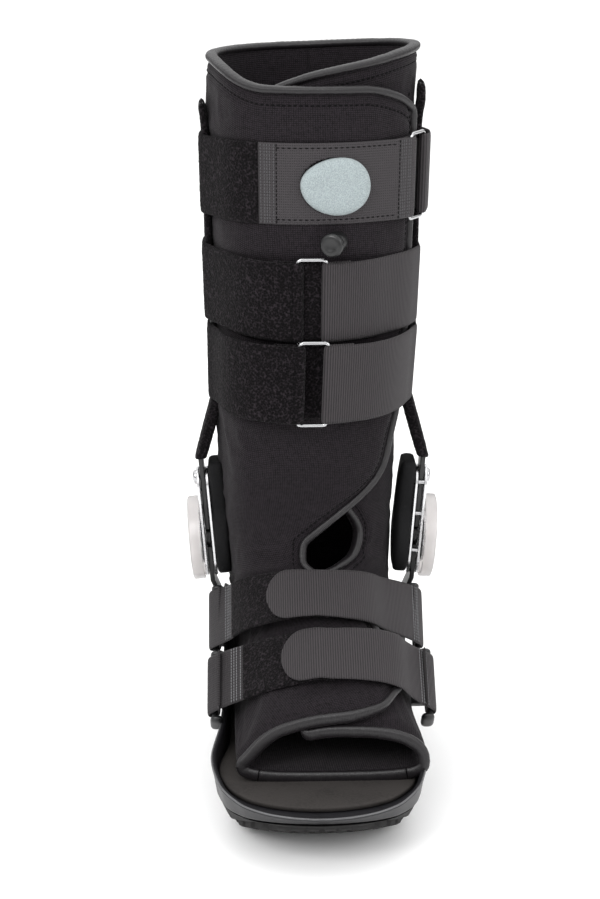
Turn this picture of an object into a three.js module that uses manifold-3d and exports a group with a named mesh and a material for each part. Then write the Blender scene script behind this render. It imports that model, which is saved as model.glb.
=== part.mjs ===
// Pneumatic walker boot: a padded wrap liner in a rocker-soled shell, with hinged uprights and six straps.
// Millimetres, +Z up, toe towards -Y. The origin is on the ground, under the middle of the bounding box.
import * as THREE from "three";
import Module from "manifold-3d";
import { mergeVertices } from "three/addons/utils/BufferGeometryUtils.js";

const wasm = await Module();
wasm.setup();

// Turns rows of plain numbers into rows with named columns.
function table(columns, rows) {
  return rows.map((row) => Object.fromEntries(columns.map((name, i) => [name, row[i]])));
}

// Driving dimensions
const GAP = 0.3; // clearance between pieces that touch on the real boot
const WALL = 6; // padded liner wall
const LAYER = 7.9; // how far the overlapping flap lies outside the one under it
const LAYER_STARTS = -76; // turn, in degrees from the front, where the outer flap starts to lift
const LAYER_FULL = -34; // turn where it lies fully over the under flap
const SEAM = 0.25; // half the gap at a sewn seam, in degrees of turn
const BINDING_HALF = 2.2; // half the width of the edge binding
const BINDING_PROUD = 0.2; // how far the binding stands out of the liner wall
const BINDING_CLEAR = 1.5; // room left for the binding where its edge bends
const PAST_BINDING = BINDING_HALF + GAP + BINDING_CLEAR; // from the binding's middle to the panel's edge
const PILE = 2.4; // thickness of the loop-pile straps
const TAPE = 1.6; // thickness of the ribbed tape
const CALF_STRAP = 48; // width of the three straps round the calf
const FOOT_STRAP = 38; // width of the two straps over the foot
const WIRE = 2.4; // diameter of the steel rings
const RING_BAR = 8.6; // half the distance between a ring's two long bars
const HINGE = { x: 66.5, y: 63, z: 136, lean: 4.5 }; // ankle hinge centre and outward lean in degrees
const BAR = { width: 16, thick: 3 }; // upright bars
const PLATE = { half: 11, low: -26, high: 47, thick: 2, clear: 0.4 }; // hinge plates, about the hinge
const PAD = { half: 23, low: -25, high: 53, thick: 9 }; // foam pads inside the hinges
const RIVET_HEIGHT = 40.5; // rivet's height over the hinge
// Turned hinge pieces: radius and distance out from their seat on the outer plate.
const DIAL = [[0, 0], [17, 0], [17, 2], [6, 2], [6, 4], [0, 4]];
const DIAL_COVER = [[0, 5.9], [23.4, 5.9], [25.5, 4], [25.5, 0], [27, 0], [27, 4.8], [24.2, 7.4], [0, 7.4]];
const RIVET = [[0, 0], [4.6, 0], [4.2, 1.4], [2.2, 2.2], [0, 2.4]];

// Hollow of the liner from rim to toe: front (top) and back (sole) points in the middle plane, half width,
// sideways shift and squareness, where 1 is an ellipse and less is boxier.
const FORM = table(
  ["frontY", "frontZ", "backY", "backZ", "half", "shift", "power"],
  [
    [24, 446, 124, 446, 55, 0, 1],
    [24, 400, 124, 400, 55, 0, 1],
    [24, 330, 124, 330, 54, 0, 1],
    [25, 270, 120, 270, 52, 0, 1],
    [25, 220, 114, 218, 50, 0, 1],
    [23, 186, 110, 170, 48, 0, 1],
    [18, 153, 112, 120, 46.5, 0, 1],
    [10, 129, 118, 76, 45, 0, 0.95],
    [-9, 117.5, 105, 46, 45, 0.5, 0.85],
    [-30.5, 103.5, 40, 43, 46, 1, 0.8],
    [-56.5, 88, -30, 43, 46.5, 2, 0.75],
    [-87, 67, -87, 43, 48.5, 3.5, 0.7],
  ],
);
const TOE = FORM.length - 1; // station of the toe opening
const SHANK_END = 4; // last station whose section is level
const PROBE = 0.05; // a short step along the form, in stations
const PANEL_JOIN = 3.62; // station under the low strap where a flap's shank and foot pieces meet
const PANEL_EASE = 6; // how quickly a flap's rows level out away from its rim and toe edge
const PANEL_COLUMNS = 15;
// Small steps at the bindings' corners, in stations and in degrees of turn.
const CORNER = { rim: 0.06, outerToe: 0.03, underToe: 0.1, rimTurn: 1.5, toeTurn: 2, seamTurn: 1 };

// Free edge of each flap: turn in degrees (0 front, 90 right side) at each station of the form.
const OUTER_EDGE = [
  [0, 57], [0.6, 62], [3.6, 61], [4.2, 55], [4.7, 49], [5, 39], [5.35, 22], [5.65, 7], [6, -5],
  [6.3, -12], [6.7, -12], [7.1, -3], [7.6, 14], [8.2, 28], [8.9, 42], [10, 52], [TOE, 55],
];
const UNDER_EDGE = [
  [0, -26], [4.7, -25], [5.1, -4], [5.5, 18], [6, 29], [6.4, 25], [6.8, 12], [7.3, -8], [7.9, -22],
  [8.6, -26], [TOE, -26],
];
// Height of each flap's top rim, and station of the outer flap's toe edge, at each turn.
const OUTER_RIM = [[-180, 442], [-90, 440], [-58, 436], [-24, 425.5], [25, 425], [45, 420], [60, 412]];
const UNDER_RIM = [[-30, 423], [-5, 428], [30, 438], [60, 444], [90, 446], [180, 442]];
const OUTER_TOE = [[-180, TOE], [-5, TOE], [25, 10.8], [60, 10.3]];
const SOLE_HALF = [[0, 0], [6.9, 0], [7.4, 14], [8, 34], [9, 42], [TOE, 44]]; // half turn of the sole panel
const SOLE_STARTS = 7.15;

// Inner face of a calf strap, as an offset from the liner's hollow at each turn.
const STRAP_BED = [[0, 14.5], [60, 14.5], [76, 15.5], [90, 12], [110, 8.6], [130, 7.2], [180, 6.7]];
// Calf straps: height of the centre line at the left side, front and right side, ring's turn and lift, and
// the turn that the tail runs on for.
const CALF_STRAPS = table(
  ["name", "left", "front", "right", "ringTurn", "lift", "tailTurn"],
  [
    ["top_strap", 371.5, 371.5, 371.5, 66, 0, 40],
    ["mid_strap", 306, 301.5, 303, 0, 0, 84],
    ["low_strap", 255, 252.5, 253, 1, 6.4, 84],
  ],
);
const SIDE_RING = 30; // a ring at more than this turn is on the side, and has the woven panel before it
const SETTLE = 26; // turn over which a folded strap comes back down to the leg
const RETURN_TURN = 12; // how far a fold's inner layer runs back
const FOLD_DROP = [[2, 0], [RETURN_TURN / 2, -0.6], [RETURN_TURN + 1, -1.4]]; // turn and drop after a fold
const RING_CORNER = 1.6; // corner radius of a ring's middle line
const PANEL_STARTS = -26; // turn where the top strap's woven panel is sewn to the pile
// Pump: an oval window, with its half sizes, and a bulb that rises through it.
const PUMP = { turn: 11, z: 370, across: 21, up: 17, rise: 6, tilt: -8, cutter: 30 };
const PUMP_DOME = table(["scale", "height"], [[1, 0], [1, 0.35], [0.93, 0.62], [0.74, 0.84], [0.4, 0.97]]);

// Foot straps: loop and top points in the middle plane, half span, sideways shift, slope of the strap's
// width over the instep, and the turns where the tab and the hidden pile end.
const FOOT_STRAPS = table(
  ["name", "loopY", "loopZ", "topY", "topZ", "span", "shift", "slope", "tabEnd", "pileEnd"],
  [
    ["instep_strap", 31, 90, -21.8, 128, 66, 0, 25.8, -26, 14],
    ["toe_strap", -27, 70, -58, 105, 67.5, 1.5, 28.6, -21, 14],
  ],
);
const FOOT_ROUND = 0.86; // squareness of the foot straps' arch
const FOOT_LIFT = 1.3; // the arch leans, so a tab is lifted by more than the layers' thickness
const LOOP = { bar: 2.6, long: 42.6, hole: 38.8, window: 7.4, foot: 4.2, lug: 18 }; // plastic strap loops
const SEWN_BACK = [13, 7]; // heights over the bar of the strap end that is sewn back inside
const ROUND_END = [0.5, 0.8, 0.95]; // share of the width at a tab's last rows, from its end

// Sole plan and heights along its length.
const SOLE_PLAN = [
  [-139, 5], [-137.5, 16], [-132, 33], [-122, 47], [-100, 59.5], [-74, 64], [-30, 57.5], [20, 57], [63, 57],
  [95, 54], [118, 43], [131, 28], [137.5, 15], [139, 5],
];
const SHELL_BOTTOM = [[-139, 37], [-120, 31], [-92, 25.5], [-60, 24], [139, 24]];
const SHELL_FLOOR = [[-139, 39.5], [-118, 35.5], [-95, 33], [139, 33]];
const SHELL_RIM = [
  [-139, 42], [-100, 42.5], [-72, 45], [-46, 51], [-25, 64], [5, 71], [33, 84], [50, 98], [63, 102],
  [77, 98], [96, 80], [120, 70], [139, 68],
];
const GROUND = [
  [-139, 34], [-128, 25.5], [-112, 13.5], [-98, 4.8], [-88, 1], [-80, 0], [96, 0], [116, 3], [139, 12],
];
const SOLE_END = 139; // half the sole's length
const SOLE_ROWS = 18;
const SHELL_WALL = 3.2;
const INSOLE = { thick: 3, inset: 4.8, short: 2.5 };
const TREAD = { depth: 4.5, pitch: 15, lug: 10, inset: 2.5, lugInset: 3.5, first: 20, base: 1.2 };
const LEAST_HALF = 2; // half width of the sole's plates at their very ends

// Upright centre lines: height and distance from the middle.
const UPPER_BAR = [
  [416, 66.6], [406, 65.2], [396, 64.4], [330, 63.4], [270, 61.4], [229, 59.9], [190, 70.7], [143, 67],
];
const TOP_LIFT = { left: -2, right: 9 }; // the two bars end at different heights
const LOWER_BAR = [[131, 66.03], [108.5, 64.26], [97, 59.4], [62, 59.2]];
const SLEEVE = { top: 226, bottom: 193, width: 21, thick: 7, play: 0.5, past: 6 };

// Air valve: a push button on a leaning rubber seat.
const VALVE = {
  turn: 12, z: 337, lean: -34, clear: 0.7, foot: 6.6, neck: 6.1, seat: 5.4, height: 5, step: 2.2,
  bore: 2.9, depth: 4.4, stem: 2.6, travel: 2, lap: 1,
};
const VALVE_CAP = [[0, 6.4], [0.8, 7], [3.6, 7], [4.6, 6], [5, 4.4]]; // distance out and radius

const deg = THREE.MathUtils.degToRad;
const side = (value) => (value < 0 ? "left" : "right");
const vec = (x, y, z) => new THREE.Vector3(x, y, z);

// A smooth curve through rows of [x, y] that never overshoots them, held level outside them.
function curve(rows, x) {
  const last = rows.length - 1;
  if (x <= rows[0][0]) return rows[0][1];
  if (x >= rows[last][0]) return rows[last][1];
  const i = rows.findIndex((row) => row[0] > x) - 1;
  const rise = (k) => (rows[k + 1][1] - rows[k][1]) / (rows[k + 1][0] - rows[k][0]);
  const slope = (k) => {
    const before = rise(Math.max(0, k - 1));
    const after = rise(Math.min(last - 1, k));
    return before * after > 0 ? (2 * before * after) / (before + after) : 0;
  };
  const [x0, y0] = rows[i];
  const [x1, y1] = rows[i + 1];
  const h = x1 - x0;
  const t = (x - x0) / h;
  const ends = (1 + 2 * t) * (1 - t) ** 2 * y0 + t * t * (3 - 2 * t) * y1;
  return ends + h * (t * (1 - t) ** 2 * slope(i) + t * t * (t - 1) * slope(i + 1));
}

// Straight stretches between rows of [x, y].
function straight(rows, x) {
  const i = Math.max(1, rows.findIndex((row, k) => k > 0 && (row[0] - x) * (rows[0][0] - x) <= 0));
  const [x0, y0] = rows[i - 1];
  const [x1, y1] = rows[i];
  return THREE.MathUtils.lerp(y0, y1, (x - x0) / (x1 - x0));
}

// Even steps from one value to another, both included.
function steps(from, to, count) {
  return Array.from({ length: count + 1 }, (_, i) => THREE.MathUtils.lerp(from, to, i / count));
}

const signedPower = (value, power) => Math.sign(value) * Math.abs(value) ** power;

const FORM_COLUMNS = Object.fromEntries(
  Object.keys(FORM[0]).map((name) => [name, FORM.map((row, i) => [i, row[name]])]),
);
const formAt = (name, at) => curve(FORM_COLUMNS[name], at);

// A point of the boot form at a station, a turn round the section and an offset out of the hollow.
function surface(at, turn, offset) {
  const front = vec(0, formAt("frontY", at), formAt("frontZ", at));
  const back = vec(0, formAt("backY", at), formAt("backZ", at));
  const power = formAt("power", at);
  const reach = front.distanceTo(back) / 2;
  const forward = front.clone().sub(back).normalize();
  const along = reach * signedPower(Math.cos(deg(turn)), power) + offset * Math.cos(deg(turn));
  const across = formAt("half", at) * signedPower(Math.sin(deg(turn)), power) + offset * Math.sin(deg(turn));
  const point = front.add(back).multiplyScalar(0.5).addScaledVector(forward, along);
  point.x = formAt("shift", at) + across;
  return point;
}

// Station of a height on the shank, where the sections are level.
function stationAt(z) {
  let low = 0;
  let high = SHANK_END;
  for (let i = 0; i < 30; i++) {
    const middle = (low + high) / 2;
    if (formAt("frontZ", middle) > z) low = middle;
    else high = middle;
  }
  return low;
}

// Station that lies a distance towards the rim from another.
function stationBack(at, turn, distance) {
  const before = Math.max(0, at - PROBE);
  const after = Math.min(TOE, at + PROBE);
  const length = surface(before, turn, WALL).distanceTo(surface(after, turn, WALL));
  return at - ((after - before) * distance) / length;
}

// A closed geometry from points and triangles, turned so that its faces point out.
function closedGeometry(points, faces) {
  const volume = faces.reduce((sum, [a, b, c]) => {
    return sum + points[a].dot(points[b].clone().cross(points[c]));
  }, 0);
  const turned = volume < 0 ? faces.map(([a, b, c]) => [a, c, b]) : faces;
  const geometry = new THREE.BufferGeometry();
  geometry.setAttribute("position", new THREE.Float32BufferAttribute(points.flatMap((p) => p.toArray()), 3));
  geometry.setIndex(turned.flat());
  return geometry;
}

// A loft through rings of equal count, capped at both ends or closed on itself.
function loft(rings, closed = false) {
  const count = rings[0].length;
  const faces = [];
  const last = closed ? rings.length : rings.length - 1;
  for (let i = 0; i < last; i++) {
    const a = i * count;
    const b = ((i + 1) % rings.length) * count;
    for (let j = 0; j < count; j++) {
      const k = (j + 1) % count;
      faces.push([a + j, a + k, b + k], [a + j, b + k, b + j]);
    }
  }
  const end = (rings.length - 1) * count;
  for (let j = 1; !closed && j < count - 1; j++) {
    faces.push([0, j + 1, j], [end, end + j, end + j + 1]);
  }
  return closedGeometry(rings.flat(), faces);
}

// A slab between two grids of points with the same rows and columns.
function slab(outer, inner) {
  const rows = outer.length;
  const columns = outer[0].length;
  const points = [...outer.flat(), ...inner.flat()];
  const half = rows * columns;
  const faces = [];
  const quad = (a, b, c, d) => faces.push([a, b, c], [a, c, d]);
  for (let i = 0; i < rows - 1; i++) {
    for (let j = 0; j < columns - 1; j++) {
      const a = i * columns + j;
      quad(a, a + 1, a + 1 + columns, a + columns);
      quad(half + a, half + a + columns, half + a + 1 + columns, half + a + 1);
    }
  }
  for (let j = 0; j < columns - 1; j++) {
    const end = (rows - 1) * columns + j;
    quad(j, half + j, half + j + 1, j + 1);
    quad(end, end + 1, half + end + 1, half + end);
  }
  for (let i = 0; i < rows - 1; i++) {
    const a = i * columns;
    const b = a + columns - 1;
    quad(a, a + columns, half + a + columns, half + a);
    quad(b, half + b, half + b + columns, b + columns);
  }
  return closedGeometry(points, faces);
}

function solidOf(geometry) {
  const bare = new THREE.BufferGeometry();
  bare.setAttribute("position", geometry.getAttribute("position"));
  bare.setIndex(geometry.index);
  const merged = mergeVertices(bare, 1e-4);
  const vertProperties = merged.getAttribute("position").array;
  const triVerts = new Uint32Array(merged.index.array);
  return new wasm.Manifold(new wasm.Mesh({ numProp: 3, vertProperties, triVerts }));
}

function geometryOf(solid) {
  const made = solid.getMesh();
  const geometry = new THREE.BufferGeometry();
  geometry.setAttribute("position", new THREE.BufferAttribute(new Float32Array(made.vertProperties), 3));
  geometry.setIndex(new THREE.BufferAttribute(new Uint32Array(made.triVerts), 1));
  return geometry;
}

const join = (...parts) => geometryOf(parts.map(solidOf).reduce((a, b) => a.add(b)));
const cut = (body, ...tools) => geometryOf(tools.map(solidOf).reduce((a, b) => a.subtract(b), solidOf(body)));

// Materials
function finish(color, roughness, metalness = 0) {
  return new THREE.MeshStandardMaterial({ color, roughness, metalness });
}

const KNIT = finish(0x2a262a, 0.9);
const SATIN = finish(0x5a585a, 0.5);
const LOOP_PILE = finish(0x1e1b1e, 1);
const RIBBED = finish(0x4a494a, 0.75);
const FOAM = finish(0xb4c8cb, 0.9);
const STEEL = finish(0xd8d8d8, 0.2, 1);
const ALLOY = finish(0xc0c0c2, 0.35, 1);
const BLACK_PLASTIC = finish(0x222224, 0.45);
const SHELL_PLASTIC = finish(0x3c3c40, 0.5);
const RUBBER = finish(0x1c1b1b, 0.8);
const EVA = finish(0x3e3a38, 0.85);
const BLACK_FOAM = finish(0x18171a, 0.9);
const CLEAR = finish(0xece6e5, 0.35);

const boot = new THREE.Group();

function add(name, geometry, material, parent = boot) {
  const mesh = new THREE.Mesh(geometry, material);
  mesh.name = name;
  parent.add(mesh);
  return mesh;
}

// Padded liner: the outer flap lies over the under flap, which lies on the hollow.
const layerAt = (turn) => LAYER * THREE.MathUtils.smoothstep(turn, LAYER_STARTS, LAYER_FULL);
const noLayer = () => 0;

// Turn by which a panel's free edge stays back from its binding, more where the edge runs aslant.
function bindingTurn(edge, at) {
  const before = Math.max(0, at - PROBE);
  const after = Math.min(TOE, at + PROBE);
  const radius = formAt("half", at) + WALL;
  const sideways = deg(edge(after) - edge(before)) * radius;
  const along = surface(before, edge(at), WALL).distanceTo(surface(after, edge(at), WALL));
  return THREE.MathUtils.radToDeg((PAST_BINDING * Math.hypot(1, sideways / along)) / radius);
}

// A liner panel: a slab over rows of stations and columns of turns between its edges, for a part of its
// length. Its rim and toe edge shift the rows near them, and the rows between stay level with the others'.
function panel({ rows, columns, first, last, from, to, rim, toe, layer }, start, end) {
  const place = (nominal, column) => {
    const share = (nominal - first) / (last - first);
    let at = nominal;
    let turn = 0;
    for (let pass = 0; pass < 3; pass++) {
      turn = THREE.MathUtils.lerp(from(at), to(at), column);
      const rimShift = (rim(turn) - first) * (1 - share) ** PANEL_EASE;
      at = nominal + rimShift + (toe(turn) - last) * share ** PANEL_EASE;
    }
    return [at, turn];
  };
  const grid = (offset) =>
    steps(start, end, rows).map((nominal) =>
      steps(0, 1, columns).map((column) => {
        const [at, turn] = place(nominal, column);
        return surface(at, turn, layer(turn) + offset);
      }),
    );
  return slab(grid(WALL), grid(0));
}

// Edge binding along stations and turns, an oval section across the liner's wall.
function binding(route, layer, sides = 6) {
  const centre = route.map(([at, turn]) => surface(at, turn, layer(turn) + WALL / 2));
  const rings = route.map(([at, turn], i) => {
    const out = surface(at, turn, WALL).sub(surface(at, turn, 0)).normalize();
    const before = centre[Math.max(0, i - 1)];
    const after = centre[Math.min(route.length - 1, i + 1)];
    const ahead = after.clone().sub(before).normalize();
    const across = ahead.cross(out).normalize();
    return Array.from({ length: sides }, (_, k) => {
      const angle = (2 * Math.PI * (k + 0.5)) / sides;
      return centre[i]
        .clone()
        .addScaledVector(out, (WALL / 2 + BINDING_PROUD) * Math.sin(angle))
        .addScaledVector(across, BINDING_HALF * Math.cos(angle));
    });
  });
  return loft(rings);
}

const rimStation = (rows, turn) => stationAt(curve(rows, turn));
const soleHalf = (at) => curve(SOLE_HALF, at);
const outerEdge = (at) => curve(OUTER_EDGE, at);
const underEdge = (at) => curve(UNDER_EDGE, at);
const outerToe = (turn) => curve(OUTER_TOE, turn);
const underToe = () => TOE;

// A flap in two pieces that meet under the low strap.
function addFlap(name, flap) {
  const halfGap = GAP / 2 / (formAt("frontZ", SHANK_END - 1) - formAt("frontZ", SHANK_END));
  add(name + "_shank", panel({ ...flap, rows: 6 }, flap.first, PANEL_JOIN - halfGap), KNIT);
  add(name + "_foot", panel({ ...flap, rows: 15 }, PANEL_JOIN + halfGap, flap.last), KNIT);
}

function addLiner() {
  const size = { columns: PANEL_COLUMNS, first: 0, last: TOE };
  const outer = {
    ...size,
    from: (at) => -180 + soleHalf(at) + SEAM,
    to: (at) => outerEdge(at) - bindingTurn(outerEdge, at),
    rim: (turn) => stationBack(rimStation(OUTER_RIM, turn), turn, -PAST_BINDING),
    toe: (turn) => stationBack(outerToe(turn), turn, PAST_BINDING),
    layer: layerAt,
  };
  addFlap("liner_left", outer);
  const under = {
    ...size,
    from: (at) => underEdge(at) + bindingTurn(underEdge, at),
    to: (at) => 180 - soleHalf(at) - SEAM,
    rim: (turn) => stationBack(rimStation(UNDER_RIM, turn), turn, -PAST_BINDING),
    toe: (turn) => stationBack(underToe(), turn, PAST_BINDING),
    layer: noLayer,
  };
  addFlap("liner_right", under);
  const sole = {
    rows: 12,
    columns: 6,
    first: SOLE_STARTS,
    last: TOE,
    from: (at) => 180 - soleHalf(at) + SEAM,
    to: (at) => 180 + soleHalf(at) - SEAM,
    rim: () => SOLE_STARTS,
    toe: (turn) => stationBack(TOE, turn, PAST_BINDING),
    layer: noLayer,
  };
  add("liner_sole", panel(sole, SOLE_STARTS, TOE), KNIT);
}

function addBindings() {
  const corner = 180 - soleHalf(TOE) - CORNER.seamTurn;
  const back = 180 - 2 * SEAM;
  const edgeTurn = 60; // about where the outer flap's edge meets its rim and its toe edge
  const edgeStarts = rimStation(OUTER_RIM, edgeTurn) + CORNER.rim;
  const edgeEnds = outerToe(edgeTurn) + CORNER.outerToe;
  const outer = [
    ...steps(-back, edgeTurn - CORNER.rimTurn, 18).map((turn) => [rimStation(OUTER_RIM, turn), turn]),
    ...steps(edgeStarts, edgeEnds, 30).map((at) => [at, outerEdge(at)]),
    ...steps(outerEdge(TOE) - 2 * CORNER.toeTurn, -corner, 13).map((turn) => [outerToe(turn), turn]),
  ];
  add("binding_left", binding(outer, layerAt), SATIN);
  const underStarts = rimStation(UNDER_RIM, underEdge(0)) + CORNER.rim;
  const under = [
    ...steps(back, underEdge(0) + CORNER.rimTurn, 14).map((turn) => [rimStation(UNDER_RIM, turn), turn]),
    ...steps(underStarts, TOE - CORNER.underToe, 28).map((at) => [at, underEdge(at)]),
    ...steps(underEdge(TOE) + CORNER.toeTurn, corner, 13).map((turn) => [TOE, turn]),
  ];
  add("binding_right", binding(under, noLayer), SATIN);
  const soleTurn = soleHalf(TOE) - CORNER.seamTurn;
  const sole = steps(180 - soleTurn, 180 + soleTurn, 8).map((turn) => [TOE, turn]);
  add("binding_sole", binding(sole, noLayer), SATIN);
}

// A flat band along a path of points, each with the direction of the band's width and a share of it.
function band(path, width, thick) {
  const rings = path.map(({ point, across, share = 1 }, i) => {
    const before = path[Math.max(0, i - 1)].point;
    const after = path[Math.min(path.length - 1, i + 1)].point;
    const out = after.clone().sub(before).cross(across).normalize();
    const half = (width * share) / 2;
    return [[-half, -1], [half, -1], [half, 1], [-half, 1]].map(([w, t]) =>
      point.clone().addScaledVector(across, w).addScaledVector(out, (t * thick) / 2),
    );
  });
  return loft(rings);
}

// Rounded closed wire in the plane of two directions.
function wireRing(centre, along, up, halfAlong, halfUp, sides = 6) {
  const out = along.clone().cross(up).normalize();
  const corners = [[1, 1, 0], [-1, 1, 90], [-1, -1, 180], [1, -1, 270]];
  const centreLine = corners.flatMap(([a, u, start]) =>
    steps(start, start + 90, 2).map((angle) => ({
      a: a * (halfAlong - RING_CORNER) + RING_CORNER * Math.cos(deg(angle)),
      u: u * (halfUp - RING_CORNER) + RING_CORNER * Math.sin(deg(angle)),
      angle,
    })),
  );
  const rings = centreLine.map(({ a, u, angle }) => {
    const point = centre.clone().addScaledVector(along, a).addScaledVector(up, u);
    const outward = along.clone().multiplyScalar(Math.cos(deg(angle)));
    outward.addScaledVector(up, Math.sin(deg(angle)));
    return Array.from({ length: sides }, (_, k) => {
      const round = (2 * Math.PI * k) / sides;
      const onWire = point.clone().addScaledVector(outward, (WIRE / 2) * Math.cos(round));
      return onWire.addScaledVector(out, (WIRE / 2) * Math.sin(round));
    });
  });
  return loft(rings, true);
}

// Straps round the calf
const wrapped = (turn) => THREE.MathUtils.euclideanModulo(turn + 180, 360) - 180;
const bed = (turn) => curve(STRAP_BED, Math.abs(wrapped(turn)));

function strapHeight({ left, front, right }, turn) {
  const heights = [[-180, right], [-90, left], [0, front], [90, right], [180, right]];
  return curve(heights, wrapped(turn));
}

function strapStation(strap, [turn, offset]) {
  const z = strapHeight(strap, turn);
  const point = surface(stationAt(z), turn, offset);
  const above = surface(stationAt(z + CALF_STRAP / 2), turn, offset);
  const below = surface(stationAt(z - CALF_STRAP / 2), turn, offset);
  return { point, across: above.sub(below).normalize() };
}

// The half turn that a band makes round a ring's bar, as turns and offsets, coming from one side.
function foldRound(barTurn, barOffset, radius, from, roundness) {
  return steps(-90, 90, 6).map((angle) => [
    barTurn - (from * THREE.MathUtils.radToDeg(radius * Math.cos(deg(angle)))) / roundness,
    barOffset + radius * Math.sin(deg(angle)),
  ]);
}

const foldRadius = (thick) => WIRE / 2 + GAP + thick / 2;
const barOffset = (strap) => bed(0) + PILE / 2 + foldRadius(PILE) + strap.lift;

function ringPlaces(strap) {
  const roundness = formAt("half", stationAt(strap.front)) + barOffset(strap);
  const spread = THREE.MathUtils.radToDeg(RING_BAR / roundness);
  return { roundness, left: strap.ringTurn - spread, right: strap.ringTurn + spread };
}

// A band that folds round a ring's bar and then lies outside its own end, going away from the ring.
function foldedStart(strap, barTurn, thick, from) {
  const { roundness } = ringPlaces(strap);
  const radius = foldRadius(thick);
  const offset = barOffset(strap);
  const [firstTurn] = FOLD_DROP[0];
  const inside = steps(RETURN_TURN, firstTurn, 2).map((back) => [barTurn + from * back, offset - radius]);
  const outside = FOLD_DROP.map(([back, drop]) => [barTurn + from * back, offset + radius + drop]);
  return [...inside, ...foldRound(barTurn, offset, radius, from, roundness), ...outside];
}

function addCalfStrap(strap) {
  const { left, right } = ringPlaces(strap);
  const hasPanel = strap.ringTurn > SIDE_RING;
  const pileEnds = right - 360 + RETURN_TURN + SEAM;
  const run = (from, to, thick, extra, count) =>
    steps(from, to, count).map((turn) => [turn, bed(turn) + thick / 2 + extra]);
  const pile = hasPanel
    ? run(PANEL_STARTS - SEAM, pileEnds, PILE, 0, 22)
    : [...foldedStart(strap, left, PILE, -1), ...run(left - SETTLE, pileEnds, PILE, 0, 22)];
  const path = (stations) => stations.map((station) => strapStation(strap, station));
  add(strap.name + "_pile", band(path(pile), CALF_STRAP, PILE), LOOP_PILE);
  const overPile = PILE + 2 * GAP;
  const tailStarts = right + SETTLE;
  const tail = [
    ...foldedStart(strap, right, TAPE, 1),
    ...run(tailStarts, tailStarts + strap.tailTurn, TAPE, overPile, 8),
  ];
  add(strap.name + "_tail", band(path(tail), CALF_STRAP, TAPE), RIBBED);
  const bars = [left, right].map((turn) => strapStation(strap, [turn, barOffset(strap)]).point);
  const centre = bars[0].clone().add(bars[1]).multiplyScalar(0.5);
  const along = bars[1].clone().sub(bars[0]).normalize();
  const up = strapStation(strap, [strap.ringTurn, barOffset(strap)]).across;
  const halfUp = CALF_STRAP / 2 + GAP + WIRE / 2;
  add(strap.name + "_ring", wireRing(centre, along, up, RING_BAR, halfUp), STEEL);
  if (hasPanel) addPanelAndPump(strap, left, path);
}

// The top strap's woven panel with its oval window, and the pump bulb that shows through it.
function addPanelAndPump(strap, barTurn, path) {
  const flat = steps(PANEL_STARTS, barTurn - SETTLE, 10).map((turn) => [turn, bed(turn) + TAPE / 2]);
  const folded = foldedStart(strap, barTurn, TAPE, -1).reverse();
  const panelBand = band(path([...flat, ...folded]), CALF_STRAP, TAPE);
  const at = stationAt(PUMP.z);
  const out = surface(at, PUMP.turn, WALL).sub(surface(at, PUMP.turn, 0)).normalize();
  const up = vec(0, 0, 1).applyAxisAngle(out, deg(PUMP.tilt));
  const along = up.clone().cross(out);
  const oval = (scale, offset, grow = 0) =>
    steps(0, 345, 23).map((angle) =>
      surface(at, PUMP.turn, offset)
        .addScaledVector(along, (PUMP.across * scale + grow) * Math.cos(deg(angle)))
        .addScaledVector(up, (PUMP.up * scale + grow) * Math.sin(deg(angle))),
    );
  const hole = loft([oval(1, 0, GAP), oval(1, PUMP.cutter, GAP)]);
  add("top_strap_panel", cut(panelBand, hole), RIBBED);
  const start = LAYER + WALL + GAP;
  add("pump_bulb", loft(PUMP_DOME.map((row) => oval(row.scale, start + row.height * PUMP.rise))), FOAM);
}

const planHalf = (y) => curve(SOLE_PLAN, y); // half the sole's width

// Straps over the foot, each from a plastic loop on one side to a loop on the other
function footFrame(strap) {
  const rise = vec(0, strap.topY - strap.loopY, strap.topZ - strap.loopZ);
  const up = rise.clone().normalize();
  const atSide = vec(0, -up.z, up.y);
  const slope = deg(strap.slope);
  const atTop = vec(0, -Math.cos(slope), -Math.sin(slope));
  if (atSide.dot(atTop) < 0) atSide.negate();
  return { rise, up, atSide, atTop, base: vec(strap.shift, strap.loopY, strap.loopZ) };
}

// Points of a foot strap's arch, raised off the foot by an offset, between two turns.
function footArch(strap, offset, from, to, count, roundEnd) {
  const { rise, up, atSide, atTop, base } = footFrame(strap);
  const reach = rise.length() + offset;
  return steps(from, to, count).map((turn, i) => {
    const c = Math.max(0, Math.cos(deg(turn))) ** FOOT_ROUND;
    const s = signedPower(Math.sin(deg(turn)), FOOT_ROUND);
    const point = base.clone().addScaledVector(up, reach * c);
    point.x += (strap.span + offset) * s;
    const across = atSide.clone().lerp(atTop, c).normalize();
    const share = roundEnd ? (ROUND_END[count - i] ?? 1) : 1;
    return { point, across, share };
  });
}

// The half turn of a foot strap round its loop's bar, with the end that is sewn back inside.
function loopFold(strap, thick, way) {
  const { up, atSide, base } = footFrame(strap);
  const radius = LOOP.bar * Math.SQRT1_2 + GAP + thick / 2;
  const bar = base.clone().add(vec(way * (strap.span - radius), 0, 0));
  const back = SEWN_BACK.map((rise) => [-radius, rise]);
  const round = steps(0, 180, 6).map((angle) => {
    return [-radius * Math.cos(deg(angle)), -radius * Math.sin(deg(angle))];
  });
  const path = [...back, ...round.slice(0, -1)].map(([outward, rise]) => ({
    point: bar.clone().add(vec(way * outward, 0, 0)).addScaledVector(up, rise),
    across: atSide,
  }));
  return { path, bar };
}

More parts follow.
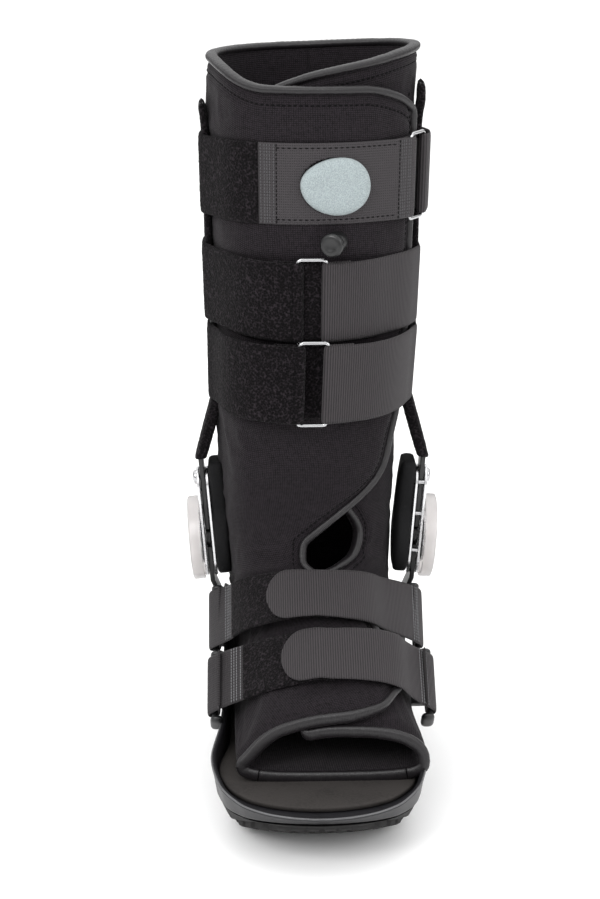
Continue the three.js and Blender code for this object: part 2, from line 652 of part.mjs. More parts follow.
function addFootStrap(strap) {
  const pileFold = loopFold(strap, PILE, -1);
  const pile = [...pileFold.path, ...footArch(strap, 0, -90, strap.pileEnd, 16, false)];
  add(strap.name + "_pile", band(pile, FOOT_STRAP, PILE), LOOP_PILE);
  const lift = (PILE / 2 + GAP + TAPE / 2) * FOOT_LIFT;
  const tabFold = loopFold({ ...strap, span: strap.span + lift }, TAPE, 1);
  const tab = [...tabFold.path, ...footArch(strap, lift, 90, strap.tabEnd, 20, true)];
  add(strap.name + "_tab", band(tab, FOOT_STRAP, TAPE), RIBBED);
  addLoop(strap, pileFold.bar, -1);
  addLoop(strap, tabFold.bar, 1);
}

// A plastic loop: a frame with a window for the strap and a lug that carries it on the shell's wall.
function addLoop(strap, bar, way) {
  const { up, atSide } = footFrame(strap);
  const turned = new THREE.Matrix4().makeBasis(atSide, up, atSide.clone().cross(up)).setPosition(bar);
  const bottom = -LOOP.bar / 2 - LOOP.window - LOOP.foot;
  const rectangle = (path, half, low, high) =>
    path.moveTo(-half, low).lineTo(half, low).lineTo(half, high).lineTo(-half, high).closePath();
  const frame = rectangle(new THREE.Shape(), LOOP.long / 2, bottom, LOOP.bar / 2);
  frame.holes.push(rectangle(new THREE.Path(), LOOP.hole / 2, bottom + LOOP.foot, -LOOP.bar / 2));
  const ring = new THREE.ExtrudeGeometry(frame, { depth: LOOP.bar, bevelEnabled: false });
  ring.translate(0, 0, -LOOP.bar / 2).applyMatrix4(turned);
  const seat = vec(0, bottom + LOOP.foot / 2, 0).applyMatrix4(turned);
  const wallX = Math.max(planHalf(seat.y - LOOP.lug / 2), planHalf(seat.y + LOOP.lug / 2)) + GAP;
  const reach = Math.abs(bar.x) - wallX;
  const lug = new THREE.BoxGeometry(LOOP.lug, LOOP.foot, reach);
  const inward = Math.sign(atSide.clone().cross(up).x) === way ? -1 : 1;
  lug.translate(0, bottom + LOOP.foot / 2, (inward * reach) / 2).applyMatrix4(turned);
  add(strap.name + "_loop_" + side(way), join(ring, lug), BLACK_PLASTIC);
}

// Rocker sole and shell: a plate that follows the sole's plan, inset from its edge, between two heights.
function solePlate(inset, bottom, top, from, to, rows, columns = 2) {
  const grid = (height) =>
    steps(from, to, rows).map((y) => {
      const half = Math.max(LEAST_HALF, planHalf((y * SOLE_END) / (SOLE_END - inset)) - inset);
      return steps(-half, half, columns).map((x) => vec(x, y, height(y)));
    });
  return slab(grid(top), grid(bottom));
}

// The upright wall round the shell, with its varying rim.
function shellWall() {
  const wingYs = SHELL_RIM.slice(3, -2).map(([y]) => y);
  const ys = [...SOLE_PLAN.map(([y]) => y), ...wingYs].sort((a, b) => a - b);
  const right = ys.map((y) => vec(planHalf(y), y, 0));
  const left = ys.map((y) => vec(-planHalf(y), y, 0)).reverse();
  const outline = [...right, ...left];
  const rings = outline.map((point, i) => {
    const before = outline[(i + outline.length - 1) % outline.length];
    const after = outline[(i + 1) % outline.length];
    const inward = after.clone().sub(before).cross(vec(0, 0, -1)).normalize();
    const inner = point.clone().addScaledVector(inward, SHELL_WALL);
    const low = curve(SHELL_BOTTOM, point.y);
    const high = curve(SHELL_RIM, point.y);
    return [
      vec(point.x, point.y, low),
      vec(inner.x, inner.y, low),
      vec(inner.x, inner.y, high),
      vec(point.x, point.y, high),
    ];
  });
  return loft(rings, true);
}

function addSole() {
  const reach = SOLE_END - SHELL_WALL; // how far the plates run from the middle to each end
  const shellBottom = (y) => curve(SHELL_BOTTOM, y);
  const shellFloor = (y) => curve(SHELL_FLOOR, y);
  const floor = solePlate(SHELL_WALL / 2, shellBottom, shellFloor, -reach, reach, SOLE_ROWS);
  add("sole_shell", join(shellWall(), floor), SHELL_PLASTIC);
  const insoleReach = reach - INSOLE.short;
  const insoleBottom = (y) => shellFloor(y) + GAP;
  const insoleTop = (y) => insoleBottom(y) + INSOLE.thick;
  add("insole", solePlate(INSOLE.inset, insoleBottom, insoleTop, -insoleReach, insoleReach, SOLE_ROWS), EVA);
  const treadTop = (y) => shellBottom(y) - GAP;
  const treadBase = (y) => Math.min(treadTop(y) - TREAD.base, curve(GROUND, y) + TREAD.depth);
  const base = solePlate(TREAD.inset, treadBase, treadTop, -reach, reach, SOLE_ROWS);
  const lugCount = Math.floor((2 * reach) / TREAD.pitch);
  const firstLug = TREAD.first - TREAD.pitch * Math.floor((TREAD.first + reach - TREAD.lug) / TREAD.pitch);
  const lugs = Array.from({ length: lugCount }, (_, i) => firstLug + i * TREAD.pitch)
    .filter((y) => y + TREAD.lug / 2 < reach)
    .map((y) => {
      const lugBottom = (at) => curve(GROUND, at);
      const lugTop = (at) => (treadBase(at) + treadTop(at)) / 2;
      return solePlate(TREAD.lugInset, lugBottom, lugTop, y - TREAD.lug / 2, y + TREAD.lug / 2, 1);
    });
  add("outsole", join(base, ...lugs), RUBBER);
}

// Uprights and ankle hinges, one set on each side
function barPath(rows, way) {
  return rows.map(([z, x]) => ({ point: vec(way * x, HINGE.y, z), across: vec(0, 1, 0) }));
}

// A plate with round ends, upright, at a distance from the hinge's own middle plane.
function uprightPlate({ half, low, high, thick }, from) {
  const outline = new THREE.Shape();
  outline.absarc(-high + half, 0, half, Math.PI / 2, (3 * Math.PI) / 2);
  outline.absarc(-low - half, 0, half, -Math.PI / 2, Math.PI / 2);
  const settings = { depth: thick, bevelEnabled: false, curveSegments: 7 };
  const geometry = new THREE.ExtrudeGeometry(outline, settings);
  return geometry.rotateY(Math.PI / 2).translate(from, 0, 0);
}

// A turned piece about the hinge's sideways axis, from rows of radius and distance out of its seat.
function turned(rows, seat, sides) {
  const profile = rows.map(([radius, x]) => new THREE.Vector2(radius, seat + x));
  return new THREE.LatheGeometry(profile, sides).rotateZ(-Math.PI / 2);
}

function addUpright(way) {
  const name = side(way);
  const [[topZ, topX], ...restOfBar] = UPPER_BAR;
  const upperBar = [[topZ + TOP_LIFT[name], topX], ...restOfBar];
  add("upright_upper_" + name, band(barPath(upperBar, way), BAR.width, BAR.thick), ALLOY);
  add("upright_lower_" + name, band(barPath(LOWER_BAR, way), BAR.width, BAR.thick), ALLOY);
  const length = [SLEEVE.top, SLEEVE.bottom].map((z) => [z, straight(UPPER_BAR, z)]);
  const past = [SLEEVE.top + SLEEVE.past, SLEEVE.bottom - SLEEVE.past];
  const longer = past.map((z) => [z, straight(length, z)]);
  const outside = band(barPath(length, way), SLEEVE.width, SLEEVE.thick);
  const inside = band(barPath(longer, way), BAR.width + 2 * SLEEVE.play, BAR.thick + 2 * SLEEVE.play);
  add("upright_sleeve_" + name, cut(outside, inside), LOOP_PILE);

  const hinge = new THREE.Group();
  hinge.position.set(way * HINGE.x, HINGE.y, HINGE.z);
  hinge.rotation.set(0, way * deg(HINGE.lean), way < 0 ? Math.PI : 0);
  boot.add(hinge);
  addHinge(hinge, name);
}

// Hinge pieces in the hinge's own frame: +X out of the leg, +Z up the bar.
function addHinge(hinge, name) {
  const innerFace = BAR.thick / 2 + PLATE.clear;
  const outerFace = innerFace + PLATE.thick;
  add("hinge_inner_plate_" + name, uprightPlate(PLATE, -outerFace), ALLOY, hinge);
  add("hinge_outer_plate_" + name, uprightPlate(PLATE, innerFace), ALLOY, hinge);
  add("condyle_pad_" + name, uprightPlate(PAD, -outerFace - GAP - PAD.thick), BLACK_FOAM, hinge);
  const seat = outerFace + GAP;
  add("hinge_dial_" + name, turned(DIAL, seat, 18), ALLOY, hinge);
  add("dial_cover_" + name, turned(DIAL_COVER, seat, 20), CLEAR, hinge);
  add("top_rivet_" + name, turned(RIVET, seat, 12), STEEL, hinge).position.z = RIVET_HEIGHT;
}

// Air valve
function discRing(centre, axis, radius, sides = 14) {
  const up = vec(0, 0, 1);
  const along = up.clone().cross(axis).normalize();
  return Array.from({ length: sides }, (_, k) => {
    const angle = (2 * Math.PI * k) / sides;
    const sideways = centre.clone().addScaledVector(along, radius * Math.cos(angle));
    return sideways.addScaledVector(up, radius * Math.sin(angle));
  });
}

function addValve() {
  const at = stationAt(VALVE.z);
  const out = surface(at, VALVE.turn, WALL).sub(surface(at, VALVE.turn, 0)).normalize();
  const foot = surface(at, VALVE.turn, LAYER + WALL + VALVE.clear);
  const axis = out.clone().applyAxisAngle(vec(0, 0, 1), deg(VALVE.lean));
  const halfway = out.clone().add(axis).normalize();
  const neck = foot.clone().addScaledVector(out, VALVE.step);
  const top = neck.clone().addScaledVector(axis, VALVE.height);
  const seat = loft([
    discRing(foot, out, VALVE.foot),
    discRing(neck, halfway, VALVE.neck),
    discRing(top, axis, VALVE.seat),
  ]);
  const along = (distance) => top.clone().addScaledVector(axis, distance);
  const boreEnds = [-VALVE.depth, VALVE.lap];
  const bore = loft(boreEnds.map((distance) => discRing(along(distance), axis, VALVE.bore)));
  add("valve_seat", cut(seat, bore), RUBBER);
  const back = VALVE.travel + GAP;
  const cap = loft(VALVE_CAP.map(([distance, radius]) => discRing(along(back + distance), axis, radius)));
  const stemEnds = [back - VALVE.depth, back + VALVE.lap];
  const stem = loft(stemEnds.map((distance) => discRing(along(distance), axis, VALVE.stem)));
  add("valve_button", join(cap, stem), RUBBER);
}

addSole();
addLiner();
addBindings();
CALF_STRAPS.forEach(addCalfStrap);
FOOT_STRAPS.forEach(addFootStrap);
[-1, 1].forEach(addUpright);
addValve();

export default boot;
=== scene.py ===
"""Dressed pneumatic walker boot: knit liner, straps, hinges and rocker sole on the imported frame."""
import math

import bpy
import numpy as np
from mathutils import Matrix, Vector, noise
from mathutils.bvhtree import BVHTree
from mathutils.geometry import convex_hull_2d


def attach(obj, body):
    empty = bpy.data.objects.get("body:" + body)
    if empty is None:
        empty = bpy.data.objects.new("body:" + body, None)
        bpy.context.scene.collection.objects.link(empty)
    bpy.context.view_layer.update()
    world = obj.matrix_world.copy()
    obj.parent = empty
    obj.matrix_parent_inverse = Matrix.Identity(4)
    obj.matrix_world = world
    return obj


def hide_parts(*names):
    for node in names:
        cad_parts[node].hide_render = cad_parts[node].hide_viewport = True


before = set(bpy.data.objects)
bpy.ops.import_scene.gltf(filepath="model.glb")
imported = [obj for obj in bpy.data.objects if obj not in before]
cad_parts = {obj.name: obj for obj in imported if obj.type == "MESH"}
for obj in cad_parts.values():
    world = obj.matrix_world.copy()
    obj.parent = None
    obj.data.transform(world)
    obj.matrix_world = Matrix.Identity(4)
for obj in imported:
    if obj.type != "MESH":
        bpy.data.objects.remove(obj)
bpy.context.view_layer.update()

# Sizes are in millimetres, as in the part's source, and become metres when a mesh is made.
MM = 0.001
SIDES = (("left", -1), ("right", 1))
UP = np.array([0.0, 0.0, 1.0])
GAP = 0.3
WALL = 6.0  # padded liner wall
LAYER = 7.9  # how far the overlapping flap lies outside the one under it
LAYER_TURNS = (-76, -34)  # turns between which the outer flap lifts
PILE = 2.4  # thickness of the loop-pile straps
TAPE = 1.6  # thickness of the ribbed tape
CALF_STRAP = 48.0
FOOT_STRAP = 38.0
SWELL = {"height": 1.1, "reach": 5.0, "uneven": 0.8, "turn": 11, "z": 30}  # padding beside the calf straps
CLOTH_FRAMES = 10
LINER_CLOTH = {"pressure": 6.0, "cap": 1.6}  # cap is the furthest that the simulated cloth swells
PAD_CLOTH = {"pressure": 8.0, "cap": 2.0}
PAD_VOXEL = 1.8
PAD_START = 1.0  # how much smaller a pad starts than it swells to
WIRE = 2.4
RING_BAR = 8.6  # half the distance between a ring's two long bars
RING_CORNER = 2.4
HINGE = {"x": 66.5, "y": 63.0, "z": 136.0, "lean": 4.5}
BAR = {"width": 16.0, "thick": 3.0}
PLATE = {"half": 11.0, "low": -26.0, "high": 47.0, "thick": 2.0, "clear": 0.4}
PAD = {"half": 23.0, "low": -25.0, "high": 53.0, "thick": 9.0}
PANEL_EASE = 6  # the higher, the nearer to a panel's ends its rows start to follow their edges
PROBE = 0.05  # stations each way for measuring a slope

# Hollow of the liner from rim to toe. sit is the height share of the widest place. left, right and low are
# the squareness of the section's upper left, upper right and lower parts: 1 is an ellipse, less is boxier.
FORM_NAMES = ("frontY", "frontZ", "backY", "backZ", "half", "shift", "sit", "left", "right", "low")
FORM = np.array([
    [24, 446, 124, 446, 58.5, 1.5, 0.5, 1, 1, 1],
    [24, 400, 124, 400, 57, -0.8, 0.5, 1, 1, 1],
    [24, 330, 124, 330, 55.5, -1.2, 0.5, 1, 1, 1],
    [25, 270, 120, 270, 53.5, -1.8, 0.5, 1, 1, 1],
    [25, 220, 114, 218, 51.5, -3.5, 0.5, 1, 1, 1],
    [23, 186, 110, 170, 49, -4, 0.5, 1, 1, 1],
    [18, 153, 112, 120, 47, -3.5, 0.5, 1, 1, 1],
    [10, 129, 118, 76, 45.5, -2, 0.5, 1, 0.95, 0.95],
    [-9, 117.5, 105, 46, 46, 0.3, 0.44, 1.15, 1.0, 0.75],
    [-30.5, 102, 40, 43, 47, 1.5, 0.36, 1.3, 1.0, 0.6],
    [-56.5, 85.5, -30, 42, 48.5, 4, 0.28, 1.4, 0.92, 0.55],
    [-87, 64, -87, 41, 50.5, 7.5, 0.22, 1.45, 0.72, 0.55],
])
TOE = len(FORM) - 1
OUTER_EDGE = [
    (0, 57), (0.6, 62), (3.6, 61), (4.2, 55), (4.7, 51), (5, 44), (5.35, 30), (5.65, 17), (6, 4),
    (6.3, -4), (6.7, -5), (7.1, 2), (7.6, 16), (8.2, 27), (8.9, 38), (10, 44), (TOE, 46),
]
UNDER_EDGE = [
    (0, -26), (4.7, -25), (5.1, 2), (5.5, 27), (6, 39), (6.4, 35), (6.8, 20), (7.3, -4), (7.9, -20),
    (8.6, -26), (TOE, -26),
]
OUTER_RIM = [(-180, 442), (-90, 440), (-58, 436), (-24, 425.5), (25, 425), (45, 420), (60, 412)]
UNDER_RIM = [(-30, 421), (-14, 428), (0, 433), (30, 439), (60, 444), (90, 446), (180, 442)]
OUTER_TOE = [(-180, TOE), (-5, TOE), (22, 10.75), (46, 10.1), (60, 9.9)]
SOLE_HALF = [(0, 0), (6.9, 0), (7.4, 14), (8, 34), (9, 42), (TOE, 44)]
SOLE_STARTS = 7.15

BED_CLEAR = 0.5  # between a calf strap and what it lies on
BED_TURNS = np.arange(-180, 181)
PILE_ENDS = 100 - 360  # turn at which the calf straps' pile stops under the tape, once round the back
CALF_STRAPS = [
    {"name": "top_strap", "left": 371.5, "front": 371.5, "right": 371.5, "ring": 62, "lift": -2,
     "tail": 44},
    {"name": "mid_strap", "left": 306, "front": 301.5, "right": 303, "ring": 0, "lift": 0, "tail": 84},
    {"name": "low_strap", "left": 255, "front": 252.5, "right": 253, "ring": 1, "lift": 6.4, "tail": 84},
]
SETTLE = 26  # turn over which a strap comes down from its ring
RETURN_TURN = 12  # turn that a sewn-back end takes up
KEEPER = {"past": 1.5, "sink": 0.3, "fuzz": 0.2}  # strip under a ring, which presses into the liner
OVER_PILE = (86, 97)  # turns between which the tape climbs onto the pile
RETURN_SEAM = 25.5  # along a strap from its sewn-back end to the seam
PANEL_SEAMS = {"edge": 3, "from": 12, "to": 36, "pitch": 3.4, "blocks": (1.5, 33), "hems": (10.8, 34.6)}
PANEL_STARTS = -26
PUMP = {
    "turn": 11, "z": 370, "across": 21, "up": 17, "tilt": -8, "egg": (0.2, 0.03), "rise": 6, "side": 1.4,
    "window": 0.9,
}
FOOT_STRAPS = [
    {"name": "instep_strap", "loop": (31, 90), "top": (-21.8, 128), "span": 66, "shift": 0, "slope": 25.8,
     "tab_end": -33, "pile_end": 14},
    {"name": "toe_strap", "loop": (-27, 70), "top": (-58, 103), "span": 67.5, "shift": 1.5, "slope": 28.6,
     "tab_end": -29, "pile_end": 14},
]
FOOT_ROUND = (1.6, 1.55)  # how straight the foot straps run on the left and on the right
TAB_OVER = (PILE / 2 + GAP + TAPE / 2) * 1.3  # how far a foot strap's tab lies over its pile
TAB_ROUND = 15.0  # length of a tab's round end
WEBBING = 53.0  # length of the smooth webbing that carries a foot strap's pile
LOOP_END = {"side": 21.3, "along": 2.3, "out": 4.0, "in": 1.8, "high": 3.0, "low": -13.5}
LOOP_BAR = 2.6

SOLE_PLAN = [
    (-139, 5), (-137.5, 16), (-132, 33), (-122, 47), (-100, 59.5), (-74, 64), (-30, 57.5), (20, 57),
    (63, 57), (95, 54), (118, 43), (131, 28), (137.5, 15), (139, 5),
]
SHELL_BOTTOM = [(-139, 32), (-120, 28.2), (-92, 25), (-60, 24), (139, 24)]
SHELL_FLOOR = [(-139, 33.2), (-118, 33), (-95, 33), (139, 33)]
SHELL_RIM = [
    (-139, 37.2), (-120, 39), (-100, 41.2), (-72, 45), (-46, 51), (-25, 64), (5, 71), (33, 84), (50, 98),
    (63, 102), (77, 98), (96, 80), (120, 70), (139, 68),
]
TREAD_GROUND = [
    (-139, 33), (-128, 25), (-112, 15), (-98, 7), (-86, 1.6), (-74, 0), (96, 0), (116, 3), (139, 12),
]
TREAD_CROWN = 6.0  # how far the tread's sides curve up at its front
TREAD_HALF = [
    (-139, 3), (-128, 24), (-112, 39), (-98, 47), (-84, 52), (-60, 54), (-30, 52), (63, 51), (95, 46),
    (118, 34), (131, 20), (139, 4),
]
SOLE_END = 139.0
SOLE_HALF_WIDTH = 64.0
SHELL_WALL = 3.2
TREAD = {
    "depth": 3.8, "pitch": 10, "lug": 6.6, "inset": 4.0, "base": 1.2, "chevron": 5.0, "blocks": 6,
    "groove": 0.035,
}
UPPER_BAR = [(229, 59.9), (190, 70.7)]  # the stretch of the upper bar inside its sleeve
BAR_LINE = [(330, 63.4), (396, 64.4), (406, 65.2), (416, 66.6), (425, 66.6)]  # (z, x) of the upper bar
UPPER_BAR_LINE = [UPPER_BAR[0]] + BAR_LINE
BAR_TOP = {"left": 414, "right": 425}
HOOK = {"width": 19, "thick": 5, "over": 1.2, "round": 7, "top": 392.0, "mid": (325.5, 349.0)}
SLEEVE = {"top": 229, "bottom": 191, "width": 21, "thick": 8}
VALVE = {
    "turn": 12, "z": 337, "lean": -34, "clear": 0.7, "foot": 6.6, "neck": 6.1, "seat": 5.4, "height": 5,
    "step": 2.2, "bore": 2.9, "depth": 4.4, "stem": 2.6, "travel": 2,
}

# Photograph's camera, in millimetres and radians, for a frame of 600 by 899.
CAMERA = {
    "place": (-35.1, -1113.2, 544.5), "pitch": 0.2898, "yaw": -0.0235, "roll": -0.0035, "focal_px": 1925.2,
}
FRAME_LONG_PX = 899
SENSOR = 36.0


# Numbers and points
def curve(rows, x):
    """Smooth curve through rows of (x, y) that never overshoots them, held level outside them."""
    xs, ys = np.array(rows, float).T
    rise = np.diff(ys) / np.diff(xs)
    before = np.concatenate([rise[:1], rise])
    after = np.concatenate([rise, rise[-1:]])
    both = before * after
    slope = np.where(both > 0, 2 * both / np.where(both > 0, before + after, 1), 0)
    x = np.clip(x, xs[0], xs[-1])
    i = np.clip(np.searchsorted(xs, x, side="right") - 1, 0, len(xs) - 2)
    h = xs[i + 1] - xs[i]
    t = (x - xs[i]) / h
    ends = (1 + 2 * t) * (1 - t) ** 2 * ys[i] + t * t * (3 - 2 * t) * ys[i + 1]
    return ends + h * (t * (1 - t) ** 2 * slope[i] + t * t * (t - 1) * slope[i + 1])


def table(rows):
    return lambda x: curve(rows, x)


def unit(v):
    return v / np.maximum(np.linalg.norm(v, axis=-1, keepdims=True), 1e-9)


def angles(count):
    return np.linspace(0, 2 * np.pi, count, endpoint=False)


def signed_power(value, power):
    return np.sign(value) * np.abs(value) ** power


def smooth_step(x, low, high):
    t = np.clip((x - low) / (high - low), 0, 1)
    return t * t * (3 - 2 * t)


STATIONS = np.arange(len(FORM))
FORM_COLUMNS = {name: np.column_stack([STATIONS, FORM[:, i]]) for i, name in enumerate(FORM_NAMES)}


def form_at(name, at):
    return curve(FORM_COLUMNS[name], at)


def surface(at, turn, offset):
    """Point of the boot form at a station and a turn, moved out of the hollow by an offset."""
    at, turn, offset = np.broadcast_arrays(*(np.asarray(v, float) for v in (at, turn, offset)))
    front = np.stack([form_at("frontY", at), form_at("frontZ", at)], -1)
    back = np.stack([form_at("backY", at), form_at("backZ", at)], -1)
    length = np.linalg.norm(front - back, axis=-1)
    cos, sin = np.cos(np.radians(turn)), np.sin(np.radians(turn))
    sit = form_at("sit", at)
    upper = np.where(sin < 0, form_at("left", at), form_at("right", at))
    power = np.where(cos < 0, form_at("low", at), upper)
    along = length * np.where(cos < 0, sit, 1 - sit) * signed_power(cos, power) + offset * cos
    across = form_at("half", at) * signed_power(sin, power) + offset * sin
    middle = back + (front - back) * sit[..., None] + unit(front - back) * along[..., None]
    return np.stack([form_at("shift", at) + across, middle[..., 0], middle[..., 1]], -1)


def out_of(at, turn):
    return unit(surface(at, turn, WALL) - surface(at, turn, 0))


SHANK = np.linspace(0, 4, 2001)
SHANK_HEIGHTS = form_at("frontZ", SHANK)


def station_at(z):
    """Station of a height on the shank, where the sections are level."""
    return np.interp(z, SHANK_HEIGHTS[::-1], SHANK[::-1])


def probed(at, turn):
    """Stations just before and just after one, and the distance between them on the liner."""
    before, after = np.maximum(0, at - PROBE), np.minimum(TOE, at + PROBE)
    apart = surface(before, turn, WALL) - surface(after, turn, WALL)
    return before, after, np.linalg.norm(apart, axis=-1)


def station_back(at, turn, distance):
    """Station that lies a distance towards the rim from another."""
    before, after, length = probed(at, turn)
    return at - (after - before) * distance / length


def lumps(points, scale, seed):
    """Smooth noise from about -1 to 1 at each point, with features of that size in millimetres."""
    flat = np.asarray(points, float).reshape(-1, 3) / scale + seed
    values = [noise.noise(Vector(p)) for p in flat]
    return np.array(values).reshape(np.shape(points)[:-1])


def arc_length(points):
    steps = np.linalg.norm(np.diff(points, axis=0), axis=-1)
    return np.concatenate([np.zeros((1,) + steps.shape[1:]), np.cumsum(steps, axis=0)])


def resample(step, blur, points, *others):
    """The same path with even steps and its kinks rounded off; the other columns go with it."""
    run = arc_length(points)
    count = max(3, int(run[-1] / step) + 1)
    places = np.linspace(0, run[-1], count)
    reach = int(math.ceil(3 * blur / step))
    weights = np.exp(-0.5 * (np.arange(-reach, reach + 1) * step / max(blur, 1e-6)) ** 2)
    weights /= weights.sum()
    columns = []
    for values in (points, *others):
        even = np.column_stack([np.interp(places, run, column) for column in values.T])
        if blur and count > 2 * reach + 2:
            head = 2 * even[0] - even[1:reach + 1][::-1]
            tail = 2 * even[-1] - even[-reach - 1:-1][::-1]
            longer = np.vstack([head, even, tail]).T
            even = np.column_stack([np.convolve(column, weights, "valid") for column in longer])
        columns.append(even)
    return columns


# Meshes
def volume(verts, faces):
    corners = verts[np.array([face[:3] for face in faces])]
    return np.einsum("ij,ij->i", corners[:, 0], np.cross(corners[:, 1], corners[:, 2])).sum()


def new_mesh(name, verts, faces):
    mesh = bpy.data.meshes.new(name)
    mesh.from_pydata((np.asarray(verts) * MM).tolist(), [], faces)
    return mesh


def put(name, data):
    placed = bpy.data.objects.new(name, data)
    bpy.context.collection.objects.link(placed)
    return placed


def build(name, verts, faces, cover, nodes=(), uv=None, body="boot", sharp=None):
    """Makes a piece from points in millimetres, with its faces turned out, and hangs it on a body."""
    if volume(verts - verts.mean(0), faces) < 0:
        faces = [face[::-1] for face in faces]
    mesh = new_mesh(name, verts, faces)
    if uv is not None:
        corner = np.empty(len(mesh.loops), int)
        mesh.loops.foreach_get("vertex_index", corner)
        layer = mesh.uv_layers.new(name="UVMap")
        layer.data.foreach_set("uv", (np.asarray(uv).reshape(-1, 2)[corner] * MM).ravel())
    mesh.polygons.foreach_set("use_smooth", np.ones(len(mesh.polygons), bool))
    if sharp:
        mesh.set_sharp_from_angle(angle=math.radians(sharp))
    mesh.materials.append(cover)
    piece = put(name, mesh)
    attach(piece, body)
    if nodes:
        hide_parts(*nodes)
    return piece


def blank(verts, faces):
    """A bare object for a modifier to work on."""
    return put("blank", new_mesh("blank", verts, faces))


def worked(piece):
    """Points and faces of a blank after its modifiers. The blank is then removed."""
    graph = bpy.context.evaluated_depsgraph_get()
    done = bpy.data.meshes.new_from_object(piece.evaluated_get(graph))
    flat = np.empty(len(done.vertices) * 3)
    done.vertices.foreach_get("co", flat)
    faces = [tuple(face.vertices) for face in done.polygons]
    bpy.data.objects.remove(piece)
    bpy.data.meshes.remove(done)
    return flat.reshape(-1, 3) / MM, faces


def remeshed(verts, faces, voxel):
    """The same form as even small faces."""
    piece = blank(verts, faces)
    remesh = piece.modifiers.new("remesh", "REMESH")
    remesh.mode = "VOXEL"
    remesh.voxel_size = voxel * MM
    return worked(piece)


def inflated(verts, faces, pressure, cap, hold=None):
    """Points of a padded form after a cloth simulation under pressure, none moved further than a cap."""
    piece = blank(verts, faces)
    cloth = piece.modifiers.new("cloth", "CLOTH")
    if hold is not None:
        group = piece.vertex_groups.new(name="hold")
        levels = np.round(hold * 10).astype(int)
        for level in range(1, 11):
            group.add(np.flatnonzero(levels == level).tolist(), level / 10, "REPLACE")
        cloth.settings.vertex_group_mass = "hold"
    cloth.settings.use_pressure = True
    cloth.settings.uniform_pressure_force = pressure
    cloth.settings.effector_weights.gravity = 0
    cloth.collision_settings.use_collision = False
    for frame_number in range(1, CLOTH_FRAMES + 1):
        bpy.context.scene.frame_set(frame_number)
    moved = worked(piece)[0] - verts
    bpy.context.scene.frame_set(1)
    far = np.maximum(np.linalg.norm(moved, axis=1), 1e-6)[:, None]
    return verts + moved * cap * np.tanh(far / cap) / far


def joined(parts):
    """Points and faces of several meshes as one."""
    verts, faces, total = [], [], 0
    for part_verts, part_faces in parts:
        faces += [tuple(v + total for v in face) for face in part_faces]
        verts.append(part_verts)
        total += len(part_verts)
    return np.vstack(verts), faces


def mirrored(right):
    """Closed outline from its right half, in rows that start with x."""
    left = right[::-1].copy()
    left[:, 0] *= -1
    return np.vstack([right, left])


def grid_faces(rows, columns, start=0, wrap=False):
    faces = []
    for i in range(rows - 1):
        for j in range(columns if wrap else columns - 1):
            k = (j + 1) % columns
            a, b = start + i * columns, start + (i + 1) * columns
            faces.append((a + j, a + k, b + k, b + j))
    return faces


def loft(rings, caps=True, closed=False):
    """Points and faces of a skin through rings of equal count."""
    rings = np.asarray(rings)
    rows, columns = rings.shape[:2]
    faces = grid_faces(rows, columns, wrap=True)
    if closed:
        last = (rows - 1) * columns
        faces += [(last + j, last + (j + 1) % columns, (j + 1) % columns, j) for j in range(columns)]
    elif caps:
        faces.append(tuple(range(columns))[::-1])
        faces.append(tuple(range((rows - 1) * columns, rows * columns)))
    return rings.reshape(-1, 3), faces


def slab(outer, inner):
    """Points and faces of a closed sheet between two grids of points."""
    rows, columns = outer.shape[:2]
    half = rows * columns
    faces = grid_faces(rows, columns)
    faces += [face[::-1] for face in grid_faces(rows, columns, half)]
    rim = list(range(columns)) + [i * columns + columns - 1 for i in range(1, rows)]
    rim += [(rows - 1) * columns + j for j in range(columns - 2, -1, -1)]
    rim += [i * columns for i in range(rows - 2, 0, -1)]
    faces += [(b, a, half + a, half + b) for a, b in zip(rim, rim[1:] + rim[:1])]
    return np.vstack([outer.reshape(-1, 3), inner.reshape(-1, 3)]), faces


def ahead_of(points):
    return unit(np.gradient(points, axis=0))


def tube(points, out, half_across, half_out, sides, square):
    """Rings of an oval section along a path, boxier as square falls below 1."""
    ahead = ahead_of(points)
    across = unit(np.cross(ahead, out))
    up = np.cross(across, ahead)
    a = signed_power(np.cos(angles(sides)), square)
    b = signed_power(np.sin(angles(sides)), square)
    half_across = np.broadcast_to(half_across, len(points))[:, None, None]
    half_out = np.broadcast_to(half_out, len(points))[:, None, None]
    sideways = across[:, None] * a[None, :, None] * half_across
    return points[:, None] + sideways + up[:, None] * b[None, :, None] * half_out


def closed_wire(points, face, radius, sides):
    """Round wire along a closed line that lies across a face direction."""
    ahead = unit(np.roll(points, -1, 0) - np.roll(points, 1, 0))
    side = unit(np.cross(ahead, face))
    angle = angles(sides)[None, :, None]
    around = side[:, None] * np.cos(angle) + face * np.sin(angle)
    return loft(points[:, None] + around * radius, closed=True)


STITCH_RINGS = ((-1.0, 0.35), (-0.55, 1.0), (0.55, 1.0), (1.0, 0.35))  # shares of length and thickness
STITCH_SIDES = 6


def stitches(name, places, thread, length, thick):
    """One mesh of small thread dashes, from rows of (point, direction ahead, direction out)."""
    points, ahead, out = (np.concatenate(part) for part in zip(*places))
    side = unit(np.cross(ahead, out))
    angle = angles(STITCH_SIDES)[None, :, None]
    around = side[:, None] * np.cos(angle) + out[:, None] * np.sin(angle)
    half, radius = length / 2, thick / 2
    rings = [points[:, None] + ahead[:, None] * (t * half) + around * (r * radius) for t, r in STITCH_RINGS]
    verts, faces = joined(loft(dash) for dash in np.stack(rings, 1))
    build(name, verts, faces, thread)


# Materials
def socket(made, name):
    return made.node_tree.nodes["Principled BSDF"].inputs[name]


